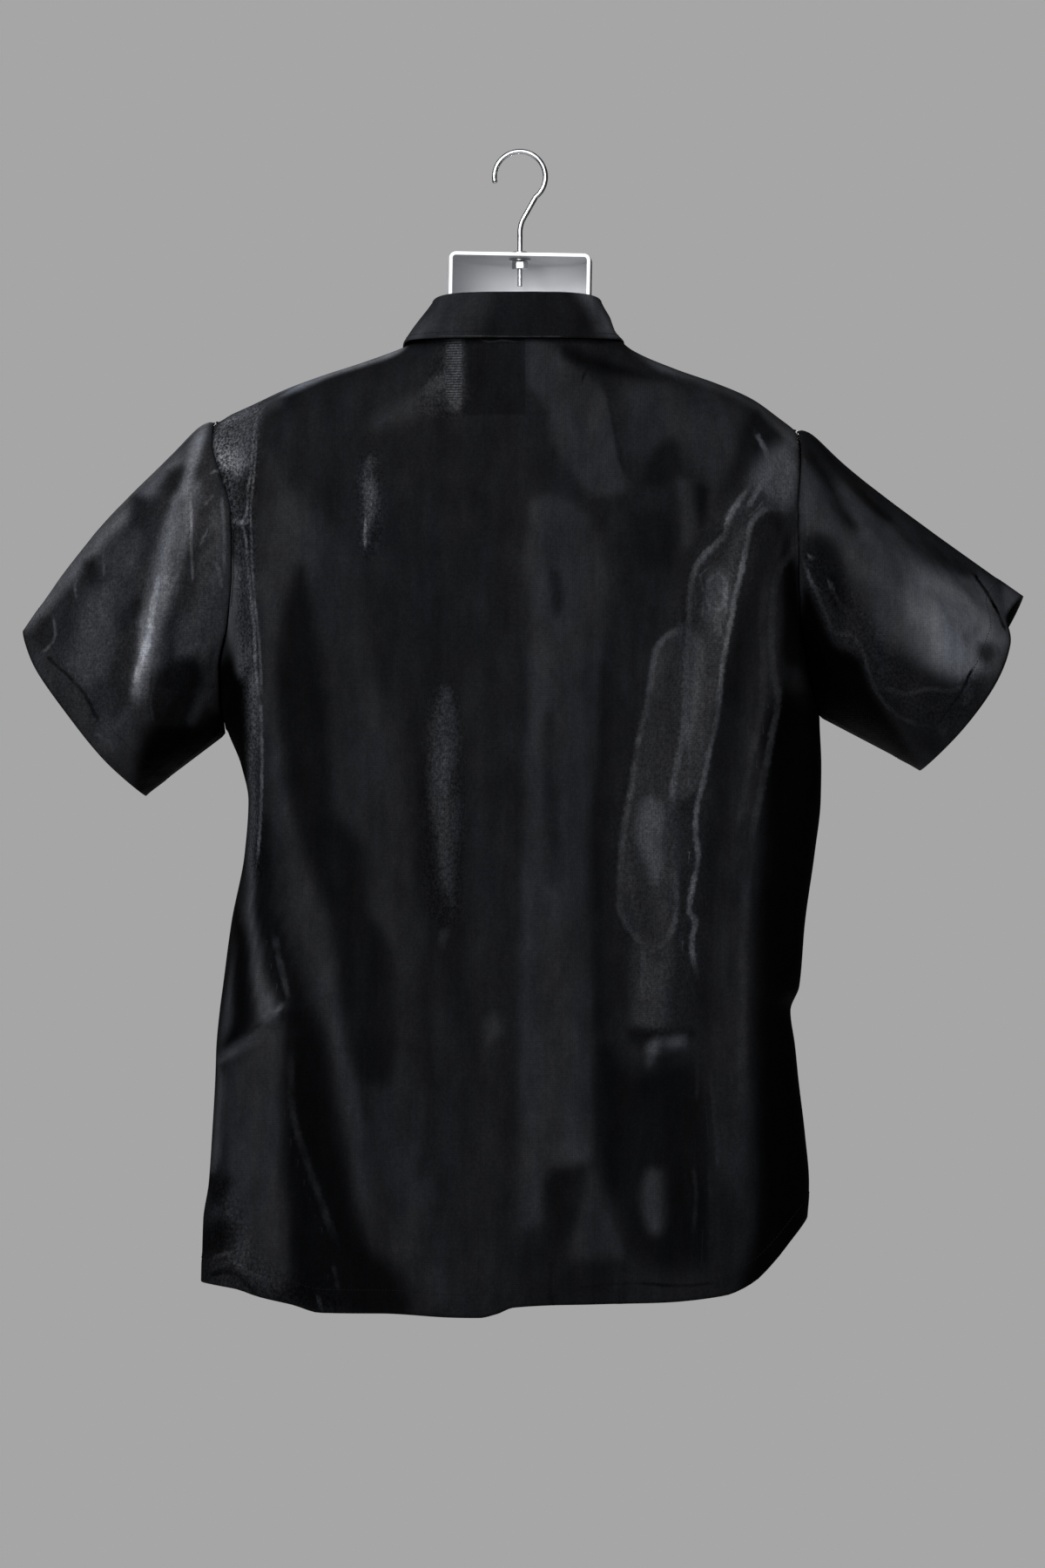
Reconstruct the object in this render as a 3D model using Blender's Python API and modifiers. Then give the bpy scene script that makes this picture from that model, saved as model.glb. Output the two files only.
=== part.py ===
"""A short-sleeved barong tagalog shirt on a hollow-backed hanging torso form.

Metres, +Z up. The origin is the inside top of the hook, where a rail carries it. The shirt's
front faces -Y and the wearer's left is +X. Each piece that a maker would cut and sew is its own
object: an open sheet through named sections, turned into a wall by Solidify.

The body is swept in two spans. Below the underarm its sections are level rings from hem to
underarm. Above it they rise with the armholes until the last one is the shoulder seam and neckline.
"""

import math

import bmesh
import bpy
from mathutils import Matrix, Vector

# Cloth and seams
CLOTH = 0.0015
SEAM_GAP = 0.0003
NECK_POINT_GAP = 0.0004
LAYER_STEP = CLOTH + SEAM_GAP
BACK, FRONT = 1, -1
LEFT, RIGHT = 1, -1

# Mesh density of the body panels and sleeves
HEM_ROWS = 13
ARMHOLE_ROWS = 12
LAP_COLUMNS = 2
NECK_COLUMNS = 6
SHOULDER_COLUMNS = 11
SLEEVE_ROWS = 9

# Body: the side seam's and shoulder seam's places in depth
SIDE_SEAM_Y = -0.020
NECK_POINT_Y = -0.005
SHOULDER_TIP_Y = -0.018
UNDERARM_Z = {LEFT: -0.455, RIGHT: -0.441}
SLIT_TOP_Z = {LEFT: -0.698, RIGHT: -0.672}
SLIT_OPENING = 0.016
SLIT_LENGTH = 0.20
NECK_SHARE = {BACK: 0.30, FRONT: 0.34}
SHOULDER_ARCH = {BACK: 4.4, FRONT: 2.4}
NECKLINE_ARCH = {BACK: 3.0, FRONT: 2.2}
SQUARENESS = {BACK: 6.0, FRONT: 2.5}
EDGE_FADE = 0.10
SEAM_FADE = 0.25
HEM_SECTION_Z = -0.880
SIDE_PACKING = 0.55

# Neckline: half width, and how far it reaches behind and before the neck point
NECK_HALF_WIDTH = 0.074
NECKLINE_DEPTH = {BACK: 0.060, FRONT: 0.091}
NECKLINE_Z = {BACK: -0.1457, FRONT: -0.207}
NECK_POINT_Z = -0.143
NECKLINE_SQUARENESS = {BACK: 3.4, FRONT: 2.2}
NECKLINE_DROP = 2.2

# Front opening: the left front laps over the right
LAP = 0.018
LAP_STEP = CLOTH + 0.0007
STAND_LAP_TURNS = (155, 168)
LAP_RAMP = (0.022, 0.036)
LAP_FADE_END = 0.065
BUTTON_RADIUS = 0.0057
BUTTON_HEIGHT = 0.0024
BUTTON_RIM = 0.0012
BUTTON_COUNT = 6
BUTTON_SIDES = 10
BUTTON_STANDOFF = 0.0002
TOP_BUTTON_Z = -0.262
BUTTON_PITCH = 0.092

# Collar: a stand with a leaf folded over it
STAND_ROWS = 3
STAND_GAP = 0.0004
STAND_TOP_HALF_WIDTH = 0.0620
STAND_TOP_DEPTH = {BACK: 0.057, FRONT: 0.084}
STAND_TOP_Z = {BACK: -0.1150, "side": -0.1190, FRONT: -0.1720}
STAND_TOP_SQUARENESS = {BACK: 4.0, FRONT: 2.3}
LEAF_GAP = 0.0007
LEAF_SHIFT = 0.0030
LEAF_END = 0.62
LEAF_FOLD_GAP = 0.0010
LEAF_ROWS = 4
LEAF_CROWN = 0.0015
LEAF_CLEARANCE = CLOTH + 0.0026

# Label patch inside the back neck
LABEL_SIDES = (-0.0041, 0.0449)
LABEL_HEIGHTS = (-0.1515, -0.2080)
LABEL_THICKNESS = 0.0008
LABEL_DEPTH = CLOTH + 0.0008
LABEL_CELLS = 4

# Hanging form and its hook
FORM_WALL = 0.0025
FORM_COLUMNS = 26
FORM_TILT = math.radians(1.0)
FORM_FRONT_SHARE = 0.80
FORM_CENTRE_Y = 0.0
FORM_TOP_Z = -0.0800
FORM_EDGE_RADIUS = 0.0050
FORM_SPANS = ((-0.770, -0.260, 7), (-0.260, -0.136, 9), (-0.136, -0.085, 3))
FORM_EDGE_DEGREES = (0, 30, 60, 90)
HOOK_WIRE = 0.0020
HOOK_INNER_RADIUS = 0.0180
HOOK_HOLE_DEPTH = 0.03
HOOK_HOLE_SIDES = 16
HOOK_STEM_Z = (-0.1060, -0.0900, -0.0600)
HOOK_SWAN_NECK = ((-0.0015, -0.0535), (-0.0060, -0.0450))
HOOK_ARC_DEGREES = (232, -12)
HOOK_ARC_STEPS = 22
HOOK_FLANGE_RADIUS = 0.0055
HOOK_FLANGE_HEIGHT = 0.0030
NUT_ACROSS_FLATS = 0.0110
NUT_HEIGHT = 0.0060
WASHER_RADIUS = 0.0085
WASHER_HEIGHT = 0.0012
WASHER_SIDES = 20
FLANGE_SIDES = 16
NUT_SIDES = 6


class Table:
    """Named columns, one row for each section, read with a smooth curve through the rows."""

    def __init__(self, columns, rows):
        self.columns = columns
        self.rows = sorted(rows)
        self.keys = [row[0] for row in self.rows]

    def at(self, key, column):
        values = [row[self.columns.index(column)] for row in self.rows]
        keys = self.keys
        if key <= keys[0]:
            return values[0]
        if key >= keys[-1]:
            return values[-1]
        low = max(i for i in range(len(keys) - 1) if keys[i] <= key)
        span = keys[low + 1] - keys[low]
        share = (key - keys[low]) / span
        start = slope(keys, values, low) * span
        end = slope(keys, values, low + 1) * span
        return hermite(values[low], values[low + 1], start, end, share)


def slope(keys, values, i):
    """A tangent at row i that never overshoots its neighbours."""
    if i in (0, len(keys) - 1):
        return 0.0 if i else (values[1] - values[0]) / (keys[1] - keys[0])
    before = (values[i] - values[i - 1]) / (keys[i] - keys[i - 1])
    after = (values[i + 1] - values[i]) / (keys[i + 1] - keys[i])
    if before * after <= 0:
        return 0.0
    return 2 * before * after / (before + after)


def hermite(first, last, start, end, share):
    square, cube = share**2, share**3
    return (
        first * (2 * cube - 3 * square + 1)
        + start * (cube - 2 * square + share)
        + last * (3 * square - 2 * cube)
        + end * (cube - square)
    )


def lerp(first, last, share):
    return first + (last - first) * share


def smooth(low, high, value):
    share = min(1.0, max(0.0, (value - low) / (high - low)))
    return share * share * (3 - 2 * share)


# Body sections: half widths on the wearer's left and right, and the depths from the side seam
BODY = Table(
    ("height", "left", "right", "back", "front"),
    (
        (-0.900, 0.2490, 0.2200, 0.086, 0.112),
        (-0.834, 0.2475, 0.2225, 0.084, 0.112),
        (-0.806, 0.2434, 0.2244, 0.083, 0.112),
        (-0.766, 0.2407, 0.2210, 0.082, 0.112),
        (-0.725, 0.2385, 0.2162, 0.081, 0.112),
        (-0.698, 0.2375, 0.2135, 0.081, 0.112),
        (-0.671, 0.2350, 0.2095, 0.080, 0.112),
        (-0.652, 0.2325, 0.2165, 0.080, 0.112),
        (-0.602, 0.2258, 0.2217, 0.079, 0.113),
        (-0.548, 0.2155, 0.2285, 0.078, 0.115),
        (-0.507, 0.2125, 0.2335, 0.078, 0.117),
        (-0.480, 0.2180, 0.2342, 0.078, 0.118),
        (-0.441, 0.2310, 0.2346, 0.078, 0.118),
    ),
)

# The back hem's height across the body, and the front's
BACK_HEM = Table(
    ("across", "height"),
    (
        (-0.223, -0.832), (-0.209, -0.850), (-0.196, -0.866), (-0.180, -0.880),
        (-0.158, -0.889), (-0.111, -0.894), (-0.029, -0.896), (0.005, -0.898),
        (0.018, -0.903), (0.032, -0.906), (0.066, -0.906), (0.080, -0.903),
        (0.154, -0.902), (0.175, -0.896), (0.202, -0.890), (0.222, -0.884), (0.250, -0.881),
    ),
)
FRONT_HEM = Table(
    ("across", "height"),
    (
        (-0.223, -0.828), (-0.200, -0.858), (-0.150, -0.885), (-0.050, -0.893),
        (0.050, -0.896), (0.150, -0.892), (0.215, -0.881), (0.250, -0.876),
    ),
)

# Armholes, from underarm (rise 0) to shoulder tip (rise 1): the half widths of the two, and how far
# the back and front edges stand behind and before the side seam
ARMHOLE = Table(
    ("rise", "left", "right", "back", "front"),
    (
        (0.00, 0.2310, 0.2346, 0.000, 0.000),
        (0.10, 0.2345, 0.2275, 0.022, 0.030),
        (0.20, 0.2345, 0.2225, 0.040, 0.052),
        (0.34, 0.2275, 0.2180, 0.055, 0.068),
        (0.52, 0.2235, 0.2162, 0.061, 0.071),
        (0.70, 0.2245, 0.2160, 0.060, 0.064),
        (0.84, 0.2350, 0.2185, 0.050, 0.050),
        (0.93, 0.2405, 0.2195, 0.034, 0.033),
        (0.98, 0.2405, 0.2185, 0.016, 0.016),
        (1.00, 0.2395, 0.2176, 0.002, 0.002),
    ),
)

# The two shoulder seams' heights out from the neck point
SHOULDER = Table(
    ("out", "left", "right"),
    (
        (0.074, -0.1430, -0.1430),
        (0.088, -0.1505, -0.1510),
        (0.120, -0.1620, -0.1645),
        (0.154, -0.1740, -0.1765),
        (0.182, -0.1840, -0.1900),
        (0.209, -0.1958, -0.2105),
        (0.226, -0.2030, -0.2210),
        (0.240, -0.2090, -0.2290),
    ),
)

# Soft folds: three places across and up along the crest, half width, and how far it stands out
FOLD_COLUMNS = ("x0", "z0", "x1", "z1", "x2", "z2", "spread", "height")
BACK_FOLDS = (
    (0.200, -0.215, 0.209, -0.290, 0.202, -0.426, 0.010, 0.0035),
    (0.202, -0.426, 0.198, -0.535, 0.178, -0.657, 0.012, 0.0050),
    (0.178, -0.660, 0.205, -0.681, 0.232, -0.701, 0.008, 0.0045),
    (0.178, -0.698, 0.171, -0.773, 0.140, -0.860, 0.012, 0.0060),
    (0.205, -0.740, 0.212, -0.810, 0.215, -0.890, 0.014, -0.0050),
    (0.166, -0.317, 0.154, -0.460, 0.117, -0.698, 0.019, -0.0060),
    (0.134, -0.303, 0.100, -0.494, 0.066, -0.698, 0.022, 0.0055),
    (0.090, -0.710, 0.095, -0.800, 0.105, -0.905, 0.020, -0.0060),
    (0.052, -0.290, 0.039, -0.494, 0.025, -0.732, 0.021, -0.0050),
    (-0.028, -0.290, -0.029, -0.528, -0.033, -0.786, 0.023, 0.0050),
    (-0.045, -0.800, -0.047, -0.850, -0.050, -0.900, 0.016, 0.0060),
    (-0.072, -0.380, -0.073, -0.562, -0.073, -0.766, 0.016, -0.0070),
    (-0.186, -0.262, -0.138, -0.324, -0.094, -0.466, 0.012, 0.0060),
    (-0.094, -0.466, -0.082, -0.541, -0.100, -0.657, 0.013, 0.0060),
    (-0.196, -0.283, -0.169, -0.358, -0.138, -0.480, 0.010, 0.0045),
    (-0.138, -0.480, -0.134, -0.562, -0.138, -0.698, 0.012, 0.0040),
    (-0.104, -0.720, -0.104, -0.790, -0.110, -0.896, 0.016, 0.0045),
    (-0.204, -0.317, -0.198, -0.412, -0.179, -0.528, 0.011, 0.0040),
    (-0.179, -0.528, -0.175, -0.698, -0.170, -0.861, 0.014, 0.0055),
    (-0.060, -0.166, -0.090, -0.176, -0.118, -0.190, 0.010, -0.0025),
)
FRONT_FOLDS = (
    (0.165, -0.330, 0.160, -0.480, 0.168, -0.640, 0.018, -0.0060),
    (0.120, -0.420, 0.112, -0.600, 0.116, -0.880, 0.020, 0.0065),
    (0.075, -0.520, 0.070, -0.680, 0.074, -0.895, 0.017, -0.0055),
    (0.190, -0.600, 0.192, -0.720, 0.196, -0.880, 0.014, 0.0050),
    (-0.060, -0.500, -0.066, -0.660, -0.062, -0.895, 0.017, 0.0050),
    (-0.110, -0.380, -0.118, -0.560, -0.112, -0.880, 0.019, -0.0065),
    (-0.155, -0.340, -0.150, -0.500, -0.158, -0.700, 0.016, 0.0060),
    (-0.190, -0.560, -0.188, -0.700, -0.184, -0.850, 0.014, -0.0050),
)
SLEEVE_FOLDS = {
    (LEFT, BACK): (
        (0.250, -0.235, 0.262, -0.317, 0.295, -0.420, 0.011, 0.0075),
        (0.285, -0.270, 0.312, -0.340, 0.350, -0.405, 0.016, -0.0050),
        (0.246, -0.330, 0.262, -0.380, 0.280, -0.425, 0.011, -0.0045),
    ),
    (LEFT, FRONT): (
        (0.262, -0.250, 0.285, -0.330, 0.312, -0.420, 0.014, 0.0060),
        (0.290, -0.260, 0.320, -0.330, 0.355, -0.390, 0.014, -0.0045),
    ),
    (RIGHT, BACK): (
        (-0.230, -0.245, -0.252, -0.285, -0.275, -0.315, 0.010, -0.0060),
        (-0.262, -0.300, -0.305, -0.350, -0.355, -0.385, 0.018, 0.0060),
        (-0.236, -0.330, -0.262, -0.375, -0.300, -0.430, 0.014, -0.0050),
        (-0.350, -0.372, -0.366, -0.380, -0.384, -0.384, 0.009, -0.0045),
    ),
    (RIGHT, FRONT): (
        (-0.250, -0.260, -0.280, -0.320, -0.310, -0.400, 0.014, 0.0060),
        (-0.290, -0.280, -0.330, -0.330, -0.365, -0.370, 0.014, -0.0045),
    ),
}

# Sleeve hems: a turn of the opening, from its top down the back and up the front
HEM_COLUMNS = ("turn", "x", "y", "z")
SLEEVE_HEMS = {
    LEFT: (
        (0.00, 0.3900, -0.020, -0.3780),
        (0.12, 0.3790, 0.012, -0.4030),
        (0.25, 0.3540, 0.028, -0.4385),
        (0.38, 0.3240, 0.022, -0.4760),
        (0.50, 0.2950, -0.015, -0.5030),
        (0.62, 0.3100, -0.050, -0.4840),
        (0.75, 0.3430, -0.062, -0.4410),
        (0.88, 0.3750, -0.050, -0.3980),
    ),
    RIGHT: (
        (0.00, -0.3960, -0.038, -0.3490),
        (0.07, -0.3830, -0.010, -0.3620),
        (0.14, -0.3835, 0.014, -0.3850),
        (0.25, -0.3700, 0.032, -0.4170),
        (0.38, -0.3440, 0.027, -0.4530),
        (0.50, -0.3150, -0.010, -0.4830),
        (0.62, -0.3280, -0.050, -0.4620),
        (0.75, -0.3560, -0.068, -0.4180),
        (0.88, -0.3860, -0.062, -0.3740),
    ),
}
SLEEVE_GAP = 0.0005
SLEEVE_TOP_CROWN = {LEFT: 0.0115, RIGHT: 0.0020}
SLEEVE_SIDE_CROWN = 0.007

# The leaf's lower edge, by the turn in degrees from the back of the neck
LEAF_EDGE = Table(
    ("turn", "out", "y", "z"),
    (
        (0, 0.0000, 0.0655, -0.1488),
        (30, 0.0330, 0.0645, -0.1488),
        (55, 0.0640, 0.0570, -0.1484),
        (75, 0.0830, 0.0340, -0.1480),
        (92, 0.0890, -0.0020, -0.1485),
        (110, 0.0900, -0.0420, -0.1560),
        (130, 0.0860, -0.0760, -0.1760),
        (150, 0.0740, -0.1010, -0.2040),
        (168, 0.0580, -0.1150, -0.2280),
        (180, 0.0460, -0.1200, -0.2420),
    ),
)

# The form's half width, front, open edge's depth and how far that edge turns in, by height
FORM = Table(
    ("height", "half", "front", "edge", "turn_in", "square"),
    (
        (-0.770, 0.1840, -0.104, 0.045, 0.010, 2.3),
        (-0.700, 0.1780, -0.101, 0.045, 0.010, 2.3),
        (-0.640, 0.1740, -0.099, 0.045, 0.010, 2.3),
        (-0.580, 0.1790, -0.104, 0.045, 0.009, 2.3),
        (-0.500, 0.1870, -0.117, 0.045, 0.008, 2.3),
        (-0.420, 0.1950, -0.126, 0.045, 0.008, 2.2),
        (-0.360, 0.1990, -0.128, 0.045, 0.008, 2.2),
        (-0.300, 0.2000, -0.120, 0.044, 0.009, 2.1),
        (-0.250, 0.1980, -0.104, 0.041, 0.012, 2.0),
        (-0.220, 0.1950, -0.093, 0.038, 0.020, 1.9),
        (-0.203, 0.1900, -0.085, 0.034, 0.028, 1.8),
        (-0.1900, 0.1800, -0.079, 0.031, 0.034, 1.8),
        (-0.1802, 0.1530, -0.074, 0.028, 0.034, 1.8),
        (-0.1668, 0.1190, -0.069, 0.027, 0.026, 1.8),
        (-0.1550, 0.0870, -0.063, 0.027, 0.012, 1.9),
        (-0.1480, 0.0690, -0.059, 0.028, 0.005, 2.1),
        (-0.1360, 0.0585, -0.056, 0.029, 0.003, 2.3),
        (-0.1150, 0.0568, -0.055, 0.030, 0.002, 2.4),
        (-0.0850, 0.0568, -0.055, 0.030, 0.002, 2.4),
    ),
)

FINISHES = {
    "satin": {"base": (0.013, 0.013, 0.015), "roughness": 0.42, "metallic": 0.0},
    "button": {"base": (0.02, 0.02, 0.022), "roughness": 0.25, "metallic": 0.0},
    "label": {"base": (0.006, 0.006, 0.007), "roughness": 0.8, "metallic": 0.0},
    "form": {"base": (0.78, 0.80, 0.83), "roughness": 0.35, "metallic": 0.0},
    "steel": {"base": (0.62, 0.63, 0.65), "roughness": 0.28, "metallic": 1.0},
}


def clear_scene():
    for obj in list(bpy.data.objects):
        bpy.data.objects.remove(obj)


def finish(name):
    material = bpy.data.materials.get(name) or bpy.data.materials.new(name)
    material.use_nodes = True
    shader = material.node_tree.nodes["Principled BSDF"]
    shader.inputs["Base Color"].default_value = (*FINISHES[name]["base"], 1.0)
    shader.inputs["Roughness"].default_value = FINISHES[name]["roughness"]
    shader.inputs["Metallic"].default_value = FINISHES[name]["metallic"]
    return material


def new_object(name, mesh, collection, material):
    obj = bpy.data.objects.new(name, mesh)
    collection.objects.link(obj)
    mesh.materials.append(finish(material))
    return obj


# ---- Body surface ----


def bow(turn, squareness):
    """(across, depth) of a rounded-square quarter arc; turn 0 is its middle and 1 its end."""
    angle = turn * math.pi / 2
    across, depth = abs(math.sin(angle)), abs(math.cos(angle))
    size = (across**squareness + depth**squareness) ** (1 / squareness)
    return across / size, depth / size


def side_name(side):
    return "left" if side == LEFT else "right"


def side_of(share):
    return LEFT if share >= 0 else RIGHT


def seam_gap(side, height):
    """Half the gap between back and front at the side: a seam, then the slit below its top."""
    opened = smooth(0, SLIT_LENGTH, SLIT_TOP_Z[side] - height)
    return SEAM_GAP / 2 + opened * SLIT_OPENING / 2


def ring_turn(share):
    """The turn of a column on its ring, packed more closely towards the side seam."""
    return SIDE_PACKING * share + (1 - SIDE_PACKING) * share**5


def ring_point(face, share, height):
    """The body ring at a height. Share runs from 0 at the centre to 1 or -1 at a side seam."""
    side = side_of(share)
    out = abs(share)
    across, depth = bow(ring_turn(out), SQUARENESS[face])
    half = BODY.at(height, side_name(side))
    reach = BODY.at(height, "back" if face == BACK else "front")
    y = SIDE_SEAM_Y + face * (seam_gap(side, height) + reach * depth)
    return Vector((side * half * across, y, height))


def neckline_point(face, turn):
    """The neckline, from the centre (turn 0) to the neck point (turn 1 or -1)."""
    across, depth = bow(abs(turn), NECKLINE_SQUARENESS[face])
    x = side_of(turn) * NECK_HALF_WIDTH * across
    y = NECK_POINT_Y + face * NECKLINE_DEPTH[face] * depth
    z = lerp(NECK_POINT_Z, NECKLINE_Z[face], depth**NECKLINE_DROP)
    return Vector((x, y, z))


def top_point(face, share):
    """The panel's top edge: the neckline in the middle and a shoulder seam on each side."""
    side, out = side_of(share), abs(share)
    neck = NECK_SHARE[face]
    if out < neck - 1e-6:
        return neckline_point(face, share / neck)
    along = (out - neck) / (1 - neck)
    tip = ARMHOLE.at(1.0, side_name(side))
    x = lerp(NECK_HALF_WIDTH, tip, along)
    gap = SEAM_GAP + NECK_POINT_GAP * (1 - smooth(0, 0.15, along))
    y = lerp(NECK_POINT_Y, SHOULDER_TIP_Y, along) + face * gap / 2
    return Vector((side * x, y, SHOULDER.at(x, side_name(side))))


def underarm_height(share):
    middle = (UNDERARM_Z[LEFT] + UNDERARM_Z[RIGHT]) / 2
    return middle + share * (UNDERARM_Z[LEFT] - UNDERARM_Z[RIGHT]) / 2


def armhole_offset(face, share, rise):
    """What moves the outermost columns onto the armhole's edge, at the side of this share."""
    side = side_of(share)
    low = ring_point(face, side, UNDERARM_Z[side])
    top = top_point(face, side)
    arch = shoulder_arch(face, share, rise)
    column = "back" if face == BACK else "front"
    x = side * ARMHOLE.at(rise, side_name(side))
    y = lerp(SIDE_SEAM_Y, SHOULDER_TIP_Y, rise)
    y += face * (SEAM_GAP / 2 + ARMHOLE.at(rise, column))
    plain_x = lerp(low.x, top.x, rise)
    plain_y = top.y + (low.y - top.y) * arch
    return x - plain_x, y - plain_y


def shoulder_arch(face, share, rise):
    """How much of the body's depth is left at a rise. It turns level at the shoulder seam and
    keeps a plain slope at the neckline's middle."""
    neck = smooth(0.3, 1.0, abs(share) / NECK_SHARE[face])
    bend = lerp(NECKLINE_ARCH[face], SHOULDER_ARCH[face], neck)
    turn = lerp(1.0, SHOULDER_ARCH[face], neck)
    return max(0.0, 1 - rise**bend) ** (1 / turn)


def upper_point(face, share, rise):
    """The body above the underarm: rise 0 is the underarm ring and 1 the panel's top edge."""
    out = abs(share)
    low = ring_point(face, share, underarm_height(share))
    top = top_point(face, share)
    shift_x, shift_y = armhole_offset(face, share, rise)
    x = lerp(low.x, top.x, rise) + shift_x * out**4
    y = top.y + (low.y - top.y) * shoulder_arch(face, share, rise) + shift_y * out**6
    return Vector((x, y, lerp(low.z, top.z, rise)))


def lower_point(face, share, climb):
    """The body below the underarm: climb 0 is the hem and 1 the underarm ring."""
    top = underarm_height(share)
    hem = BACK_HEM if face == BACK else FRONT_HEM
    half = BODY.at(HEM_SECTION_Z, side_name(side_of(share)))
    across, _ = bow(ring_turn(abs(share)), SQUARENESS[face])
    bottom = hem.at(side_of(share) * half * across, "height")
    return ring_point(face, share, lerp(bottom, top, climb))


def body_point(face, share, level):
    """Level runs 0 to 1 from hem to underarm and 1 to 2 from there to the top edge."""
    if level <= 1:
        return lower_point(face, share, level)
    return upper_point(face, share, level - 1)


def fold_rise(folds, x, z):
    """How far the folds lift the cloth at a place seen straight on."""
    total = 0.0
    place = Vector((x, z))
    for row in folds:
        fold = dict(zip(FOLD_COLUMNS, row))
        knots = [Vector((fold[f"x{i}"], fold[f"z{i}"])) for i in range(3)]
        nearest = min(
            distance_to(place, knots[0], knots[1]), distance_to(place, knots[1], knots[2])
        )
        total += fold["height"] * math.exp(-((nearest / fold["spread"]) ** 2))
    return total


def distance_to(place, start, end):
    run = end - start
    share = min(1.0, max(0.0, (place - start).dot(run) / run.length_squared))
    return (place - start - run * share).length


def folded_point(face, share, level):
    """The body with its folds, which die out at the armholes, seams and front edge."""
    point = body_point(face, share, level)
    fade = smooth(0, EDGE_FADE, 1 - abs(share))
    if level > 1:
        fade *= smooth(0, SEAM_FADE, 2 - level)
    if face == FRONT:
        fade *= smooth(LAP_RAMP[1], LAP_FADE_END, abs(point.x))
    folds = BACK_FOLDS if face == BACK else FRONT_FOLDS
    point.y += face * fade * fold_rise(folds, point.x, point.z)
    return point


def share_at(face, x, level):
    """The share whose column stands at this place across the body."""
    low, high = -0.6, 0.6
    for _ in range(24):
        middle = (low + high) / 2
        if body_point(face, middle, level).x < x:
            low = middle
        else:
            high = middle
    return (low + high) / 2


def column_share(column, edge, neck):
    """The share of a column counted from edge: neck columns first, then shoulder columns."""
    if column <= NECK_COLUMNS:
        return lerp(edge, neck, column / NECK_COLUMNS)
    return lerp(neck, 1, (column - NECK_COLUMNS) / SHOULDER_COLUMNS)


def front_share(column, lap):
    """The share of a front panel's column: across the lap first, then as on the back."""
    if column <= LAP_COLUMNS:
        return lerp(-lap, lap, column / LAP_COLUMNS)
    return column_share(column - LAP_COLUMNS, lap, NECK_SHARE[FRONT])


def body_levels():
    """Rows from hem to top edge, closing up where the shoulder turns over."""
    lower = [i / HEM_ROWS for i in range(HEM_ROWS)]
    upper = [1 + math.sin(i / ARMHOLE_ROWS * math.pi / 2) for i in range(ARMHOLE_ROWS + 1)]
    return lower + upper


# ---- Sheets and walls ----


def sheet(name, rows, columns, place, inside, closed=False):
    """An open grid with each vertex moved to place(column, row), facing away from inside."""
    mesh = bpy.data.meshes.new(name)
    shape = bmesh.new()
    bmesh.ops.create_grid(shape, x_segments=columns, y_segments=rows, size=0.5)
    for vertex in shape.verts:
        column = round((vertex.co.x + 0.5) * columns)
        row = round((vertex.co.y + 0.5) * rows)
        vertex.co = place(column % columns if closed else column, row)
    bmesh.ops.remove_doubles(shape, verts=shape.verts, dist=1e-6)
    shape.normal_update()
    outward = sum(
        face.normal.dot(face.calc_center_median() - inside(face.calc_center_median()))
        for face in shape.faces
    )
    if outward < 0:
        bmesh.ops.reverse_faces(shape, faces=shape.faces)
    shape.to_mesh(mesh)
    shape.free()
    return mesh


def thicken(obj, thickness):
    """Makes the sheet a wall whose outer face is where the sheet was."""
    wall = obj.modifiers.new("Wall", "SOLIDIFY")
    wall.thickness = thickness
    wall.offset = -1.0


def axis_point(point):
    return Vector((0.0, SIDE_SEAM_Y, point.z - 0.05))


def make_back(collection):
    levels = body_levels()
    half = NECK_COLUMNS + SHOULDER_COLUMNS

    def place(column, row):
        from_centre = column - half
        share = column_share(abs(from_centre), 0, NECK_SHARE[BACK])
        return folded_point(BACK, math.copysign(share, from_centre), levels[row])

    mesh = sheet("back_panel", len(levels) - 1, 2 * half, place, axis_point)
    thicken(new_object("back_panel", mesh, collection, "satin"), CLOTH)


def lap_lift(x):
    """How far the left front stands out to pass over the right one."""
    return LAP_STEP * (1 - smooth(*LAP_RAMP, x))


def make_front(collection, side):
    name = f"front_{side_name(side)}"
    levels = body_levels()
    laps = [share_at(FRONT, LAP, level) for level in levels]

    def place(column, row):
        share = front_share(column, laps[row])
        point = folded_point(FRONT, side * share, levels[row])
        if side == LEFT:
            point.y -= lap_lift(point.x)
        return point

    columns = LAP_COLUMNS + NECK_COLUMNS + SHOULDER_COLUMNS
    mesh = sheet(name, len(levels) - 1, columns, place, axis_point)
    thicken(new_object(name, mesh, collection, "satin"), CLOTH)


def placket_point(x, level):
    point = body_point(FRONT, share_at(FRONT, x, level), level)
    point.y -= lap_lift(point.x) + LAYER_STEP
    return point


def make_placket(collection):
    levels = body_levels()

    def place(column, row):
        return placket_point(lerp(-LAP, LAP, column / LAP_COLUMNS), levels[row])

    mesh = sheet("placket", len(levels) - 1, LAP_COLUMNS, place, axis_point)
    thicken(new_object("placket", mesh, collection, "satin"), CLOTH)


def make_label(collection):
    top, bottom = LABEL_HEIGHTS

    def place(column, row):
        x = lerp(*LABEL_SIDES, column / LABEL_CELLS)
        z = lerp(top, bottom, row / LABEL_CELLS)
        return panel_place(BACK, x, z) - panel_normal(BACK, x, z) * LABEL_DEPTH

    mesh = sheet("neck_label", LABEL_CELLS, LABEL_CELLS, place, axis_point)
    thicken(new_object("neck_label", mesh, collection, "label"), LABEL_THICKNESS)


def panel_place(face, x, z):
    """A body panel's outer face at a place across and up, without its folds."""
    low, high = 1.0, 2.0
    for _ in range(20):
        level = (low + high) / 2
        if body_point(face, share_at(face, x, level), level).z < z:
            low = level
        else:
            high = level
    return body_point(face, share_at(face, x, low), low)


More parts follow.
